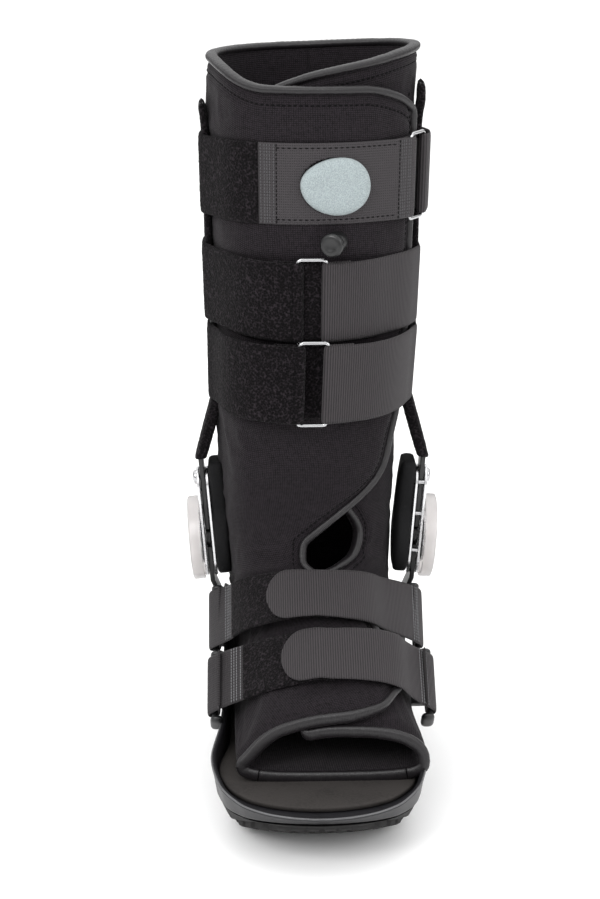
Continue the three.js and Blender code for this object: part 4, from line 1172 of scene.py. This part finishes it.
def pump_oval(angle, scale, offset):
    """Egg outline of the pump window at an offset out of the liner's hollow."""
    tilt = np.array(Matrix.Rotation(math.radians(PUMP["tilt"]), 3, Vector(PUMP_OUT)))
    up = tilt @ UP
    along = np.cross(up, PUMP_OUT)
    egg = 1 + np.where(np.sin(angle) > 0, *PUMP["egg"]) * np.cos(angle)
    a = PUMP["across"] * scale * np.cos(angle)
    b = PUMP["up"] * scale * np.sin(angle) * egg
    return surface(PUMP_AT, PUMP["turn"], offset) + a[..., None] * along + b[..., None] * up


def add_panel(spec, bar_turn, run, places, light_places):
    """Woven panel of the top strap, with its window for the pump."""
    flat = run(PANEL_STARTS, bar_turn - SETTLE, TAPE, 60)
    path = even(spec, flat + folded_start(spec, bar_turn, TAPE, -1)[::-1], 0.8)
    centre = surface(PUMP_AT, PUMP["turn"], 0)
    along, up = pump_oval(np.array([0.0, np.pi / 2]), 1.0, 0.0) - centre

    def in_window(places_on_band):
        flat_part = places_on_band - centre
        a, b = flat_part @ along / (along @ along), flat_part @ up / (up @ up)
        return (a * a + b * b < PUMP["window"]) & (flat_part @ PUMP_OUT > 0)

    strap("top_strap_woven", path, CALF_STRAP, WOVEN_BAND, ("top_strap_panel",), 56, window=in_window)
    length = float(arc_length(path[0])[-1])
    seams = PANEL_SEAMS
    high = CALF_STRAP / 2 - seams["edge"]
    for height in (-high, high):
        places.append(stitch_run(path, TAPE, seams["from"], length - seams["to"], height, seams["pitch"]))
    for start in (seams["blocks"][0], length - seams["blocks"][1]):
        light_places += stitch_block(path, CALF_STRAP, TAPE - 0.3, 1, start, **PANEL_STITCH)
    for start in (seams["hems"][0], length - seams["hems"][1]):
        places += stitch_block(path, CALF_STRAP, TAPE, 1, start, **HEM_STITCH)


def add_pump():
    start = LAYER + WALL + GAP
    rings = [pump_oval(angles(96), 1.0, start)]
    for t in np.linspace(0, math.pi / 2, 18):
        rise = PUMP["side"] + (PUMP["rise"] - PUMP["side"]) * math.sin(t) ** 0.9
        rings.append(pump_oval(angles(96), math.cos(t * 0.97) ** 0.42, start + rise))
    rings = np.stack(rings)
    rings = rings + PUMP_OUT * (lumps(rings, 8.0, 4.0) * 0.25)[..., None]
    verts, faces = loft(rings)
    piece = build("pump_felt", verts, faces, FELT, ("pump_bulb",))


# Straps over the instep and the toe
def foot_frame(spec):
    rise = np.array([0, spec["top"][0] - spec["loop"][0], spec["top"][1] - spec["loop"][1]], float)
    up = unit(rise)
    at_side = np.array([0, -up[2], up[1]])
    slope = math.radians(spec["slope"])
    at_top = np.array([0, -math.cos(slope), -math.sin(slope)])
    if at_side @ at_top < 0:
        at_side = -at_side
    base = np.array([spec["shift"], *spec["loop"]], float)
    return np.linalg.norm(rise), up, at_side, at_top, base


ARCH_TURNS = np.linspace(-90, 90, 121)
ARCH_SHARES = (-0.95, -0.5, 0.0, 0.5, 0.95)  # places across a foot strap where the liner is felt for
ARCH_CLEAR = 0.5
ARCH_FADE = (0.05, 0.3)  # rise shares between which a strap comes free of its loops
ARCH_BLUR = 2.5
FAR = 300.0  # how far off the liner a ray starts
SEWN_BACK = [13, 9, 4]  # heights of a sewn-back end over its loop's bar


def arch_line(spec, turns):
    """A foot strap's taut line over the liner: its points, width directions and directions outward."""
    reach, up, at_side, at_top, base = foot_frame(spec)
    turn = np.radians(turns)
    power = np.where(turn < 0, *FOOT_ROUND)
    c = np.maximum(0, np.cos(turn)) ** power
    s = signed_power(np.sin(turn), power)
    points = base + up * (reach * c)[:, None]
    points[:, 0] += spec["span"] * s
    return points, unit(at_side + (at_top - at_side) * c[:, None]), unit(points - base)


def arch_lift(spec, liner):
    """How far the taut line has to move out at each turn to lie on the padded liner."""
    points, across, out = arch_line(spec, ARCH_TURNS)
    need = np.zeros(len(points))
    for share in ARCH_SHARES:
        for i, (point, way) in enumerate(zip(points + across * share * FOOT_STRAP / 2, out)):
            for tree in liner:
                hit = tree.ray_cast(Vector(point + way * FAR), Vector(-way), FAR + 40)
                if hit[0] is not None:
                    need[i] = max(need[i], FAR - hit[3] + PILE / 2 + ARCH_CLEAR)
    need *= smooth_step(np.cos(np.radians(ARCH_TURNS)), *ARCH_FADE)
    wide = np.max([np.roll(need, k) for k in range(-2, 3)], axis=0)
    weights = np.exp(-0.5 * (np.arange(-6, 7) / ARCH_BLUR) ** 2)
    return np.convolve(np.pad(wide, 6, mode="edge"), weights / weights.sum(), "valid")


def foot_arch(spec, lift, offset, start, end, count):
    turns = np.linspace(start, end, count)
    points, across, out = arch_line(spec, turns)
    return points + out * (np.interp(turns, ARCH_TURNS, lift) + offset)[:, None], across


def loop_radius(thick):
    return LOOP_BAR * math.sqrt(0.5) + GAP + thick / 2


def loop_fold(spec, span, thick, way):
    _, up, at_side, _, base = foot_frame(spec)
    radius = loop_radius(thick)
    bar = base + np.array([way * (span - radius), 0, 0])
    angle = np.radians(np.linspace(0, 180, 22)[:-1])
    outward = np.concatenate([[-radius] * len(SEWN_BACK), -radius * np.cos(angle)])
    rise = np.concatenate([SEWN_BACK, -radius * np.sin(angle)])
    points = bar + np.outer(outward, [way, 0, 0]) + np.outer(rise, up)
    return points, np.repeat(at_side[None], len(points), 0)


def foot_path(spec, lift, over, thick, way, end, count, step):
    """A foot strap's path from its fold round a loop over the liner to a turn."""
    folded = loop_fold(spec, spec["span"] + over, thick, way)
    arch = foot_arch(spec, lift, over, way * 90, end, count)
    return resample(step, 0.8, *(np.vstack(pair) for pair in zip(folded, arch)))


def add_foot_strap(spec, liner, places):
    name = spec["name"]
    lift = arch_lift(spec, liner)
    points, across = path = foot_path(spec, lift, 0, PILE, -1, spec["pile_end"], 120, 1.0)
    sewn = np.searchsorted(arc_length(points), WEBBING)
    smooth, pile = (points[:sewn + 4], across[:sewn + 4]), (points[sewn:], across[sewn:])
    strap(name + "_webbing", smooth, FOOT_STRAP, WEBBING_BAND, (), 24)
    strap(name + "_loop_pile", pile, FOOT_STRAP, PILE_BAND, (name + "_pile",), 38, fuzz=PILE_FUZZ)
    places += stitch_block(path, FOOT_STRAP, TAPE, -1, WEBBING - 9, **FOOT_STITCH)
    path = foot_path(spec, lift, TAB_OVER, TAPE, 1, spec["tab_end"], 140, 0.8)
    run = arc_length(path[0])
    share = np.sqrt(np.clip(1 - (1 - np.clip((run[-1] - run) / TAB_ROUND, 0, 1)) ** 2, 0.03, 1))
    strap(name + "_tape", path, FOOT_STRAP, TAPE_BAND, (name + "_tab",), 24, share=share)
    places += stitch_block(path, FOOT_STRAP, TAPE, 1, 31, **FOOT_STITCH)


def add_loop_ends(spec):
    """Round ends of the plastic strap loops, which show beyond the straps' edges."""
    _, up, at_side, _, base = foot_frame(spec)
    rise = np.linspace(LOOP_END["low"], LOOP_END["high"], 24)[:, None]
    size = np.sqrt(np.clip(1 - np.abs(np.linspace(-1, 1, 24)) ** 5, 0.02, 1))
    ends = []
    for way, thick, over in ((-1, PILE, 0.0), (1, TAPE, TAB_OVER)):
        reach = spec["span"] + over - loop_radius(thick) - LOOP_END["in"]
        bar = base + np.array([way * reach, 0, 0])
        out = np.repeat([[way, 0.0, 0.0]], 24, 0)
        for end in (-1, 1):
            points = bar + at_side * end * LOOP_END["side"] + rise * up
            ends.append(loft(tube(points, out, LOOP_END["along"] * size, LOOP_END["out"] * size, 20, 0.8)))
    verts, faces = joined(ends)
    build(spec["name"] + "_loop_ends", verts, faces, BLACK)


# Rocker sole
PLAN_COUNT = 130  # points along one side of the sole's plan
LIP = {"inset": 0.5, "drop": 0.1, "radius": 0.6}
INSOLE_FRONT = 11.0  # how much further the insole stops short of the toe
FRONT_ZONE = (40, 137)  # distances ahead of the sole's middle over which that comes in
CROWN_AT = 50  # half width at which the tread's crown is measured
CROWN_ZONE = (25, 80)  # distances ahead of the sole's middle over which the crown comes in
INSOLE_STEPS = [(9, 0.3), (5.6, 0.3), (4.9, 0.6), (4.8, 2.4), (5.1, 3.0), (5.8, 3.3), (7, 3.4), (12, 3.4)]
TREAD_STEPS = ((0, 0, 3.0), (0, 0, 0), (0.15, 0.2, 0), (0.6, 0.65, 0), (0.95, 0.95, 0), (1, 1, 1.5))
LUG_STEPS = ((0, 1.3), (0, 0.3), (0.8, 0.0))  # inset, and height as a share of the tread's depth

plan_half = table(SOLE_PLAN)
tread_half = table(TREAD_HALF)
shell_bottom, shell_floor, shell_rim = table(SHELL_BOTTOM), table(SHELL_FLOOR), table(SHELL_RIM)


def heel_to_toe(end):
    return end * np.sin(np.linspace(np.pi / 2, -np.pi / 2, PLAN_COUNT))


def plan_ring(inset, height, rise, front=0.0):
    """Ring of the sole's plan shrunk by an inset, and by more at the toe, at a rise over a height."""
    y = heel_to_toe(SOLE_END)
    x, y = mirrored(np.column_stack([plan_half(y), y])).T
    ends = inset + front * smooth_step(-y, *FRONT_ZONE)
    return np.column_stack([x * (1 - inset / SOLE_HALF_WIDTH), y * (1 - ends / SOLE_END), height(y) + rise])


def across_faces(count, start, flip=False):
    """Faces between the two sides of a plan ring."""
    near = range(start, start + count // 2 - 1)
    far = 2 * start + count - 1
    faces = [(i, i + 1, far - i - 1, far - i) for i in near]
    return [face[::-1] for face in faces] if flip else faces


def plan_skin(rings):
    """Points and faces of a solid through plan rings, closed across the first and the last."""
    count = len(rings[0])
    verts, faces = loft(np.stack(rings), caps=False)
    return verts, faces + across_faces(count, 0, True) + across_faces(count, (len(rings) - 1) * count)


def add_shell():
    bottom, floor, rim = shell_bottom, shell_floor, shell_rim
    steps = [(7, bottom, 0), (4.4, bottom, 0.1), (3.5, bottom, 0.7), (2.9, bottom, 1.8), (0.7, rim, -1.8),
             (0.1, rim, -1.2), (0, rim, -0.5), (0.4, rim, 0), (1.5, rim, 0.1), (2.5, rim, -0.3),
             (SHELL_WALL, rim, -1.4), (SHELL_WALL, floor, 2.2), (3.6, floor, 0.9), (5, floor, 0.2),
             (7, floor, 0)]
    verts, faces = plan_skin([plan_ring(*step) for step in steps])
    build("shell_moulding", verts, faces, SHELL, ("sole_shell",), verts[:, :2])
    # A thin wire round the rim in that lighter colour paints the rim edge's highlight.
    lip = plan_ring(LIP["inset"], rim, -LIP["drop"])
    verts, faces = closed_wire(lip, UP, LIP["radius"], 8)
    build("shell_lip_highlight", verts, faces, SHELL_RIM_HIGHLIGHT)
    verts, faces = plan_skin([plan_ring(inset, floor, rise, INSOLE_FRONT) for inset, rise in INSOLE_STEPS])
    build("insole_foam", verts, faces, EVA, ("insole",), verts[:, :2])


def tread_top(y):
    return shell_bottom(y) - GAP


def tread_ground(x, y):
    return curve(TREAD_GROUND, y) + TREAD_CROWN * (x / CROWN_AT) ** 2 * smooth_step(-y, *CROWN_ZONE)


def tread_base(y):
    return np.minimum(tread_top(y) - TREAD["base"], tread_ground(tread_half(y), y) + TREAD["depth"])


def lug(y, low, high):
    """One tread block between two shares of the tread's width, set on a chevron, with a chamfered end."""
    rows = np.linspace(y - TREAD["lug"] / 2, y + TREAD["lug"] / 2, 5)
    half = tread_half(rows)
    rings = []
    for inset, part in LUG_STEPS:
        ys = np.clip(rows, rows[0] + inset, rows[-1] - inset)
        sides = []
        for share, way in ((low, 1), (high, -1)):
            bent = ys + TREAD["chevron"] * abs(share)
            ground = tread_ground(half * share, bent)
            z = ground + part * np.maximum(tread_base(bent) - ground, 0.5)
            sides.append(np.column_stack([half * share + way * inset, bent, z]))
        rings.append(np.vstack([sides[0], sides[1][::-1]]))
    return loft(np.stack(rings))


def add_tread():
    end = SOLE_END - TREAD["inset"]
    y = heel_to_toe(end)
    wide = plan_half(y * SOLE_END / end) - TREAD["inset"]
    low = np.minimum(tread_half(y) + 1.0, wide)
    rings = []
    for share, drop, tuck in TREAD_STEPS:
        half = np.maximum(wide + (low - wide) * share - tuck, 0.5)
        z = tread_top(y) + (tread_base(y) - tread_top(y)) * drop
        rings.append(mirrored(np.column_stack([half, y, z])))
    parts = [plan_skin(rings)]
    reach = SOLE_END - 2 * TREAD["inset"]
    rows = np.arange(-reach + TREAD["lug"], reach - TREAD["lug"] * 1.5, TREAD["pitch"])
    for row, y_lug in enumerate(rows):
        edges = np.linspace(-1, 1, TREAD["blocks"] + 1 + row % 2)
        shares = zip(edges[:-1] + TREAD["groove"], edges[1:] - TREAD["groove"])
        parts += [lug(y_lug, *pair) for pair in shares]
    verts, faces = joined(parts)
    build("outsole_tread", verts, faces, RUBBER, ("outsole",), sharp=40)


# Uprights and hinges
def hinge_place(way):
    turn = Matrix.Rotation(way * math.radians(HINGE["lean"]), 3, "Y")
    if way < 0:
        turn = turn @ Matrix.Rotation(math.pi, 3, "Z")
    move = np.array([way * HINGE["x"], HINGE["y"], HINGE["z"]])
    spin = np.array(turn)
    return lambda points: np.asarray(points) @ spin.T + move


PLATE_FACE = BAR["thick"] / 2 + PLATE["clear"]  # from the bar's middle to a hinge plate
PLATE_BACK = PLATE_FACE + PLATE["thick"]
SEAT = PLATE_BACK + GAP
PLATE_STEPS = [(0.5, 0), (0, 0.4), (0, PLATE["thick"] - 0.4), (0.5, PLATE["thick"])]
PAD_CROWN = (
    (6.0, -0.1), (3.0, 0.0), (1.2, 0.4), (0.2, 1.4), (0, 3.0), (0, 7.0), (0.3, 8.2), (1.4, 9.0), (6.0, 9.0),
)
PAD_TAB = {"half": 12.5, "corner": 8.0, "rounded": 4.0}  # the pad's upper tab
# Profiles of the round pieces, in rows of (radius, distance)
DIAL = [(0, 0), (17, 0), (17, 1.5), (16.4, 2), (7, 2), (6.2, 2.4), (6, 3.6), (5.4, 4), (0, 4)]
COVER = [
    (0, 5.9), (24.6, 5.9), (25.5, 5.2), (25.5, 0), (27, 0), (27, 6.3), (26.6, 7.0), (25.6, 7.4), (22, 7.4),
    (21.6, 6.9), (20.4, 6.9), (20, 7.4), (8, 7.4), (7.6, 7.1), (0, 7.1),
]
RIVET = [(0, 0), (4.6, 0), (4.6, 0.5), (4.2, 1.3), (3.2, 1.9), (1.6, 2.3), (0, 2.4)]
RIVET_AT = (0, 40.5)
SPACER = [(0, -PLATE_FACE), (1.4, -PLATE_FACE), (1.4, PLATE_FACE), (0, PLATE_FACE)]
SPACERS_AT = ((-9.2, 38.0), (-9.2, 17.0), (-9.2, -8.0))
WASHER = [(0, -1.5), (6.2, -1.5), (6.6, -1.1), (6.6, 1.1), (6.2, 1.5), (0, 1.5)]
STUD = [(0, 7.2), (2.2, 7.2), (2.2, 7.8), (1.4, 8.2), (0, 8.2)]
STUD_AT = (-4.0, -16.0)


def plate_outline(inset):
    """Upright outline with round ends, as rows of (y, z)."""
    half = PLATE["half"]
    top = np.radians(np.linspace(0, 180, 40))
    ends = []
    for angle, centre in ((top, PLATE["high"] - half), (top + np.pi, PLATE["low"] + half)):
        ends.append((half - inset) * np.column_stack([np.cos(angle), np.sin(angle)]) + (0, centre))
    return np.vstack(ends)


def pad_outline(inset):
    """Outline of a condyle pad, a disc with a tab above it, as rows of (y, z)."""
    share = 0.5 - 0.5 * np.cos(np.linspace(0, np.pi, 60))
    z = PAD["low"] + (PAD["high"] - PAD["low"]) * share
    disc = np.sqrt(np.maximum(PAD["half"] ** 2 - (z - PAD["low"] - PAD["half"]) ** 2, 0))
    in_corner = np.maximum(z - PAD["high"] + PAD_TAB["corner"], 0) / PAD_TAB["corner"]
    corner = np.sqrt(np.maximum(1 - in_corner ** 2, 0))
    tab = np.where(z > 0, PAD_TAB["half"] - PAD_TAB["rounded"] * (1 - corner), 0)
    half = np.maximum((disc ** 6 + tab ** 6) ** (1 / 6) - inset - PAD_START, 0.3)
    z = np.clip(z, PAD["low"] + inset + PAD_START, PAD["high"] - inset - PAD_START)
    return mirrored(np.column_stack([half, z]))


def stacked(outline, steps, start):
    """Points and faces of outlines set along the hinge's sideways axis, from rows of (inset, distance)."""
    rings = []
    for inset, x in steps:
        rows = outline(inset)
        rings.append(np.column_stack([np.full(len(rows), start + x), rows]))
    return loft(np.stack(rings))


def turned(name, profile, start, place, cover, nodes=(), sides=64, centre=(0.0, 0.0)):
    """A lathe piece about the hinge's sideways axis, from rows of (radius, distance)."""
    circle = np.column_stack([np.cos(angles(sides)), np.sin(angles(sides))])
    verts, faces = stacked(lambda radius: np.array(centre) + max(radius, 0.01) * circle, profile, start)
    build(name, place(verts), faces, cover, nodes, sharp=35)


def add_hinge(name, way):
    place = hinge_place(way)
    for part, start in (("inner", -PLATE_BACK), ("outer", PLATE_FACE)):
        verts, faces = stacked(plate_outline, PLATE_STEPS, start)
        nodes = ("hinge_%s_plate_%s" % (part, name),)
        build("plate_%s_%s" % (part, name), place(verts), faces, STEEL, nodes, sharp=30)
    verts, faces = remeshed(*stacked(pad_outline, PAD_CROWN, -SEAT - PAD["thick"]), PAD_VOXEL)
    verts = inflated(verts, faces, **PAD_CLOTH)
    verts[:, 0] = np.minimum(verts[:, 0], -SEAT)
    piece = build("pad_" + name, place(verts), faces, PAD_FOAM, ("condyle_pad_" + name,))
    turned("dial_" + name, DIAL, SEAT, place, STEEL, ("hinge_dial_" + name,))
    turned("cover_" + name, COVER, SEAT, place, CLEAR, ("dial_cover_" + name,))
    turned("rivet_" + name, RIVET, SEAT, place, CHROME, ("top_rivet_" + name,), 32, RIVET_AT)
    for k, centre in enumerate(SPACERS_AT):
        turned("spacer_%s_%d" % (name, k), SPACER, 0, place, CHROME, (), 20, centre)
    turned("pivot_washer_" + name, WASHER, 0, place, COATED, (), 40)
    turned("stud_" + name, STUD, SEAT, place, CHROME, (), 24, STUD_AT)


def fuzzy_tube(name, way, x, z, half_across, half_out, sides, square, nodes=(), slant=0.0):
    """A pile-covered sleeve round a stretch of an upright, with its last end cut aslant."""
    points = np.column_stack([way * x, np.full_like(z, HINGE["y"]), z])
    out = np.repeat([[way, 0.0, 0.0]], len(z), 0)
    rings = tube(points, out, half_across, half_out, sides, square)
    share = np.linspace(0, 1, len(z))[:, None] ** 3
    rings[..., 2] += (rings[..., 0] - points[:, None, 0]) * way * slant * share
    rough = lumps(rings, 1.6, 6.0) + lumps(rings, 0.9, 9.0) * 0.5
    rings = rings + unit(rings - points[:, None]) * (rough * 0.3)[..., None]
    verts, faces = loft(rings)
    build(name, verts, faces, PILE_CLOTH, nodes)


def add_sleeve(name, way):
    (z0, x0), (z1, x1) = UPPER_BAR
    z = np.linspace(SLEEVE["top"], SLEEVE["bottom"], 44)
    x = x0 + (x1 - x0) * (z - z0) / (z1 - z0)
    fuzzy_tube("sleeve_" + name, way, x, z, SLEEVE["width"] / 2, SLEEVE["thick"] / 2, 44, 0.55,
               ("upright_sleeve_" + name,), -0.35)


def add_hook_covers(name, way):
    """Fuzzy hook strips folded over the upper bar where it shows between and above the straps."""
    top = BAR_TOP[name] + HOOK["over"]
    for part, ends in (("top", (HOOK["top"], top)), ("mid", HOOK["mid"])):
        z = np.linspace(*ends, 40)
        to_top = np.clip((top - z) / HOOK["round"], 0, 1)
        end = np.sqrt(np.clip(1 - (1 - to_top) ** 2, 0.02, 1))
        fuzzy_tube("hook_cover_%s_%s" % (part, name), way, curve(BAR_LINE, z), z,
                   HOOK["width"] / 2 * (0.55 + 0.45 * end), HOOK["thick"] / 2 * end, 40, 0.6)


WELD = 0.02
BEVEL_ANGLE = 25


def dress_cad(names, cover, width):
    """Rounds the edges of CAD nodes that keep their shape and gives them a material."""
    for name in names:
        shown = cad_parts[name]
        weld = shown.modifiers.new("weld", "WELD")
        weld.merge_threshold = WELD * MM
        bevel = shown.modifiers.new("bevel", "BEVEL")
        bevel.width = width * MM
        bevel.segments = 3
        bevel.angle_limit = math.radians(BEVEL_ANGLE)
        for held in shown.material_slots:
            held.material = cover


# Air valve
VALVE_CAP = [
    (0, 6.2), (0.3, 6.7), (1.0, 7.0), (3.4, 7.0), (4.3, 6.5), (4.8, 5.4), (5.0, 3.6), (4.6, 2.8),
    (4.6, 0.05),
]


def disc(centre, way, radius):
    along = unit(np.cross(UP, way))
    angle = angles(48)[:, None]
    return centre + radius * (np.cos(angle) * along + np.sin(angle) * UP)


def add_valve():
    at = station_at(VALVE["z"])
    out = out_of(at, VALVE["turn"])
    foot = surface(at, VALVE["turn"], LAYER + WALL + VALVE["clear"])
    axis = np.array(Matrix.Rotation(math.radians(VALVE["lean"]), 3, "Z")) @ out
    neck = foot + out * VALVE["step"]
    top = neck + axis * VALVE["height"]
    seat = [disc(foot, out, VALVE["foot"]), disc(foot + out * 0.8, out, VALVE["foot"] - 0.1),
            disc(neck, unit(out + axis), VALVE["neck"]), disc(top - axis * 0.8, axis, VALVE["seat"]),
            disc(top, axis, VALVE["seat"] - 0.6), disc(top, axis, VALVE["bore"]),
            disc(top - axis * VALVE["depth"], axis, VALVE["bore"])]
    verts, faces = loft(np.stack(seat))
    build("valve_collar", verts, faces, VALVE_RUBBER, ("valve_seat",), sharp=50)
    back = VALVE["travel"] + GAP
    stem = [(-VALVE["depth"], 2.2), (0.4 - VALVE["depth"], VALVE["stem"]), (0, VALVE["stem"])]
    verts, faces = loft(np.stack([disc(top + axis * (back + d), axis, r) for d, r in stem + VALVE_CAP]))
    button = ("valve_button",)
    build("valve_cap", verts, faces, VALVE_RUBBER, button, body="valve_button", sharp=50)


# Stage, light and camera
FLOOR = {"half": 12000.0, "z": -0.3}
SKY = [(0.02, (0.12,) * 3), (0.45, (1.0,) * 3)]
SKY_STRENGTH = 1.4
LIT = (0, 0, 0.22)  # where the lights aim, in metres
LIGHTS = (
    # name, place in metres, size in metres, watts
    ("key", (-1.1, -1.5, 1.7), (1.0, 1.0), 24),
    ("fill", (1.4, -1.2, 1.1), (1.0, 1.2), 10),
    ("top", (0, 0.3, 2.2), (1.6, 1.6), 10),
)


def add_stage():
    half, z = FLOOR["half"], FLOOR["z"]
    corners = [(-half, -half, z), (half, -half, z), (half, half, z), (-half, half, z)]
    floor = new_mesh("floor", corners, [(0, 1, 2, 3)])
    pale = material("pale_floor", (0.92, 0.92, 0.92), 0.6)
    cloud = noise_of(pale, coordinates(pale, "Object"), 3, 2.0)
    paint(pale, cloud, [(0.3, (0.91,) * 3), (0.7, (0.93,) * 3)])
    floor.materials.append(pale)
    put("floor", floor)


def add_lights():
    world = bpy.data.worlds.new("studio")
    world.use_nodes = True
    sky = world.node_tree.nodes["Background"]
    height = texture(world, "SeparateXYZ", coordinates(world, "Generated"), "Z", {})
    link(world, ramp_of(world, height, SKY), sky.inputs["Color"])
    sky.inputs["Strength"].default_value = SKY_STRENGTH
    bpy.context.scene.world = world
    for name, place, size, watts in LIGHTS:
        data = bpy.data.lights.new(name, "AREA")
        data.shape = "RECTANGLE"
        data.size, data.size_y = size
        data.energy = watts
        lamp = put(name, data)
        lamp.location = place
        lamp.rotation_euler = (Vector(LIT) - Vector(place)).to_track_quat("-Z", "Y").to_euler()
    bpy.context.scene.view_settings.view_transform = "Standard"


def add_camera():
    data = bpy.data.cameras.new("camera")
    data.sensor_width = SENSOR
    data.lens = CAMERA["focal_px"] * SENSOR / FRAME_LONG_PX
    camera = put("camera", data)
    camera.location = [v * MM for v in CAMERA["place"]]
    turn = Matrix.Rotation(CAMERA["yaw"], 3, "Z") @ Matrix.Rotation(math.pi / 2 - CAMERA["pitch"], 3, "X")
    camera.rotation_euler = (turn @ Matrix.Rotation(CAMERA["roll"], 3, "Z")).to_euler()
    bpy.context.scene.camera = camera


def main():
    liner = add_liner()
    add_bindings(liner)
    light_places, foot_places, dark_places = [], [], []
    for spec in CALF_STRAPS:
        add_calf_strap(spec, dark_places, light_places)
    for spec in FOOT_STRAPS:
        add_foot_strap(spec, liner, foot_places)
    for spec in FOOT_STRAPS:
        add_loop_ends(spec)
    stitches("strap_stitches_light", light_places, GREY_THREAD, length=1.5, thick=0.7)
    stitches("strap_stitches_foot", foot_places, LIGHT_THREAD, length=1.7, thick=0.7)
    stitches("strap_stitches_dark", dark_places, DARK_THREAD, length=2.0, thick=0.6)
    add_shell()
    add_tread()
    for name, way in SIDES:
        add_hinge(name, way)
        add_sleeve(name, way)
        add_hook_covers(name, way)
        dress_cad(["upright_%s_%s" % (part, name) for part in ("upper", "lower")], COATED, 0.7)
        dress_cad(["%s_loop_%s" % (spec["name"], name) for spec in FOOT_STRAPS], BLACK, 0.6)
    add_valve()
    add_stage()
    add_lights()
    add_camera()


main()
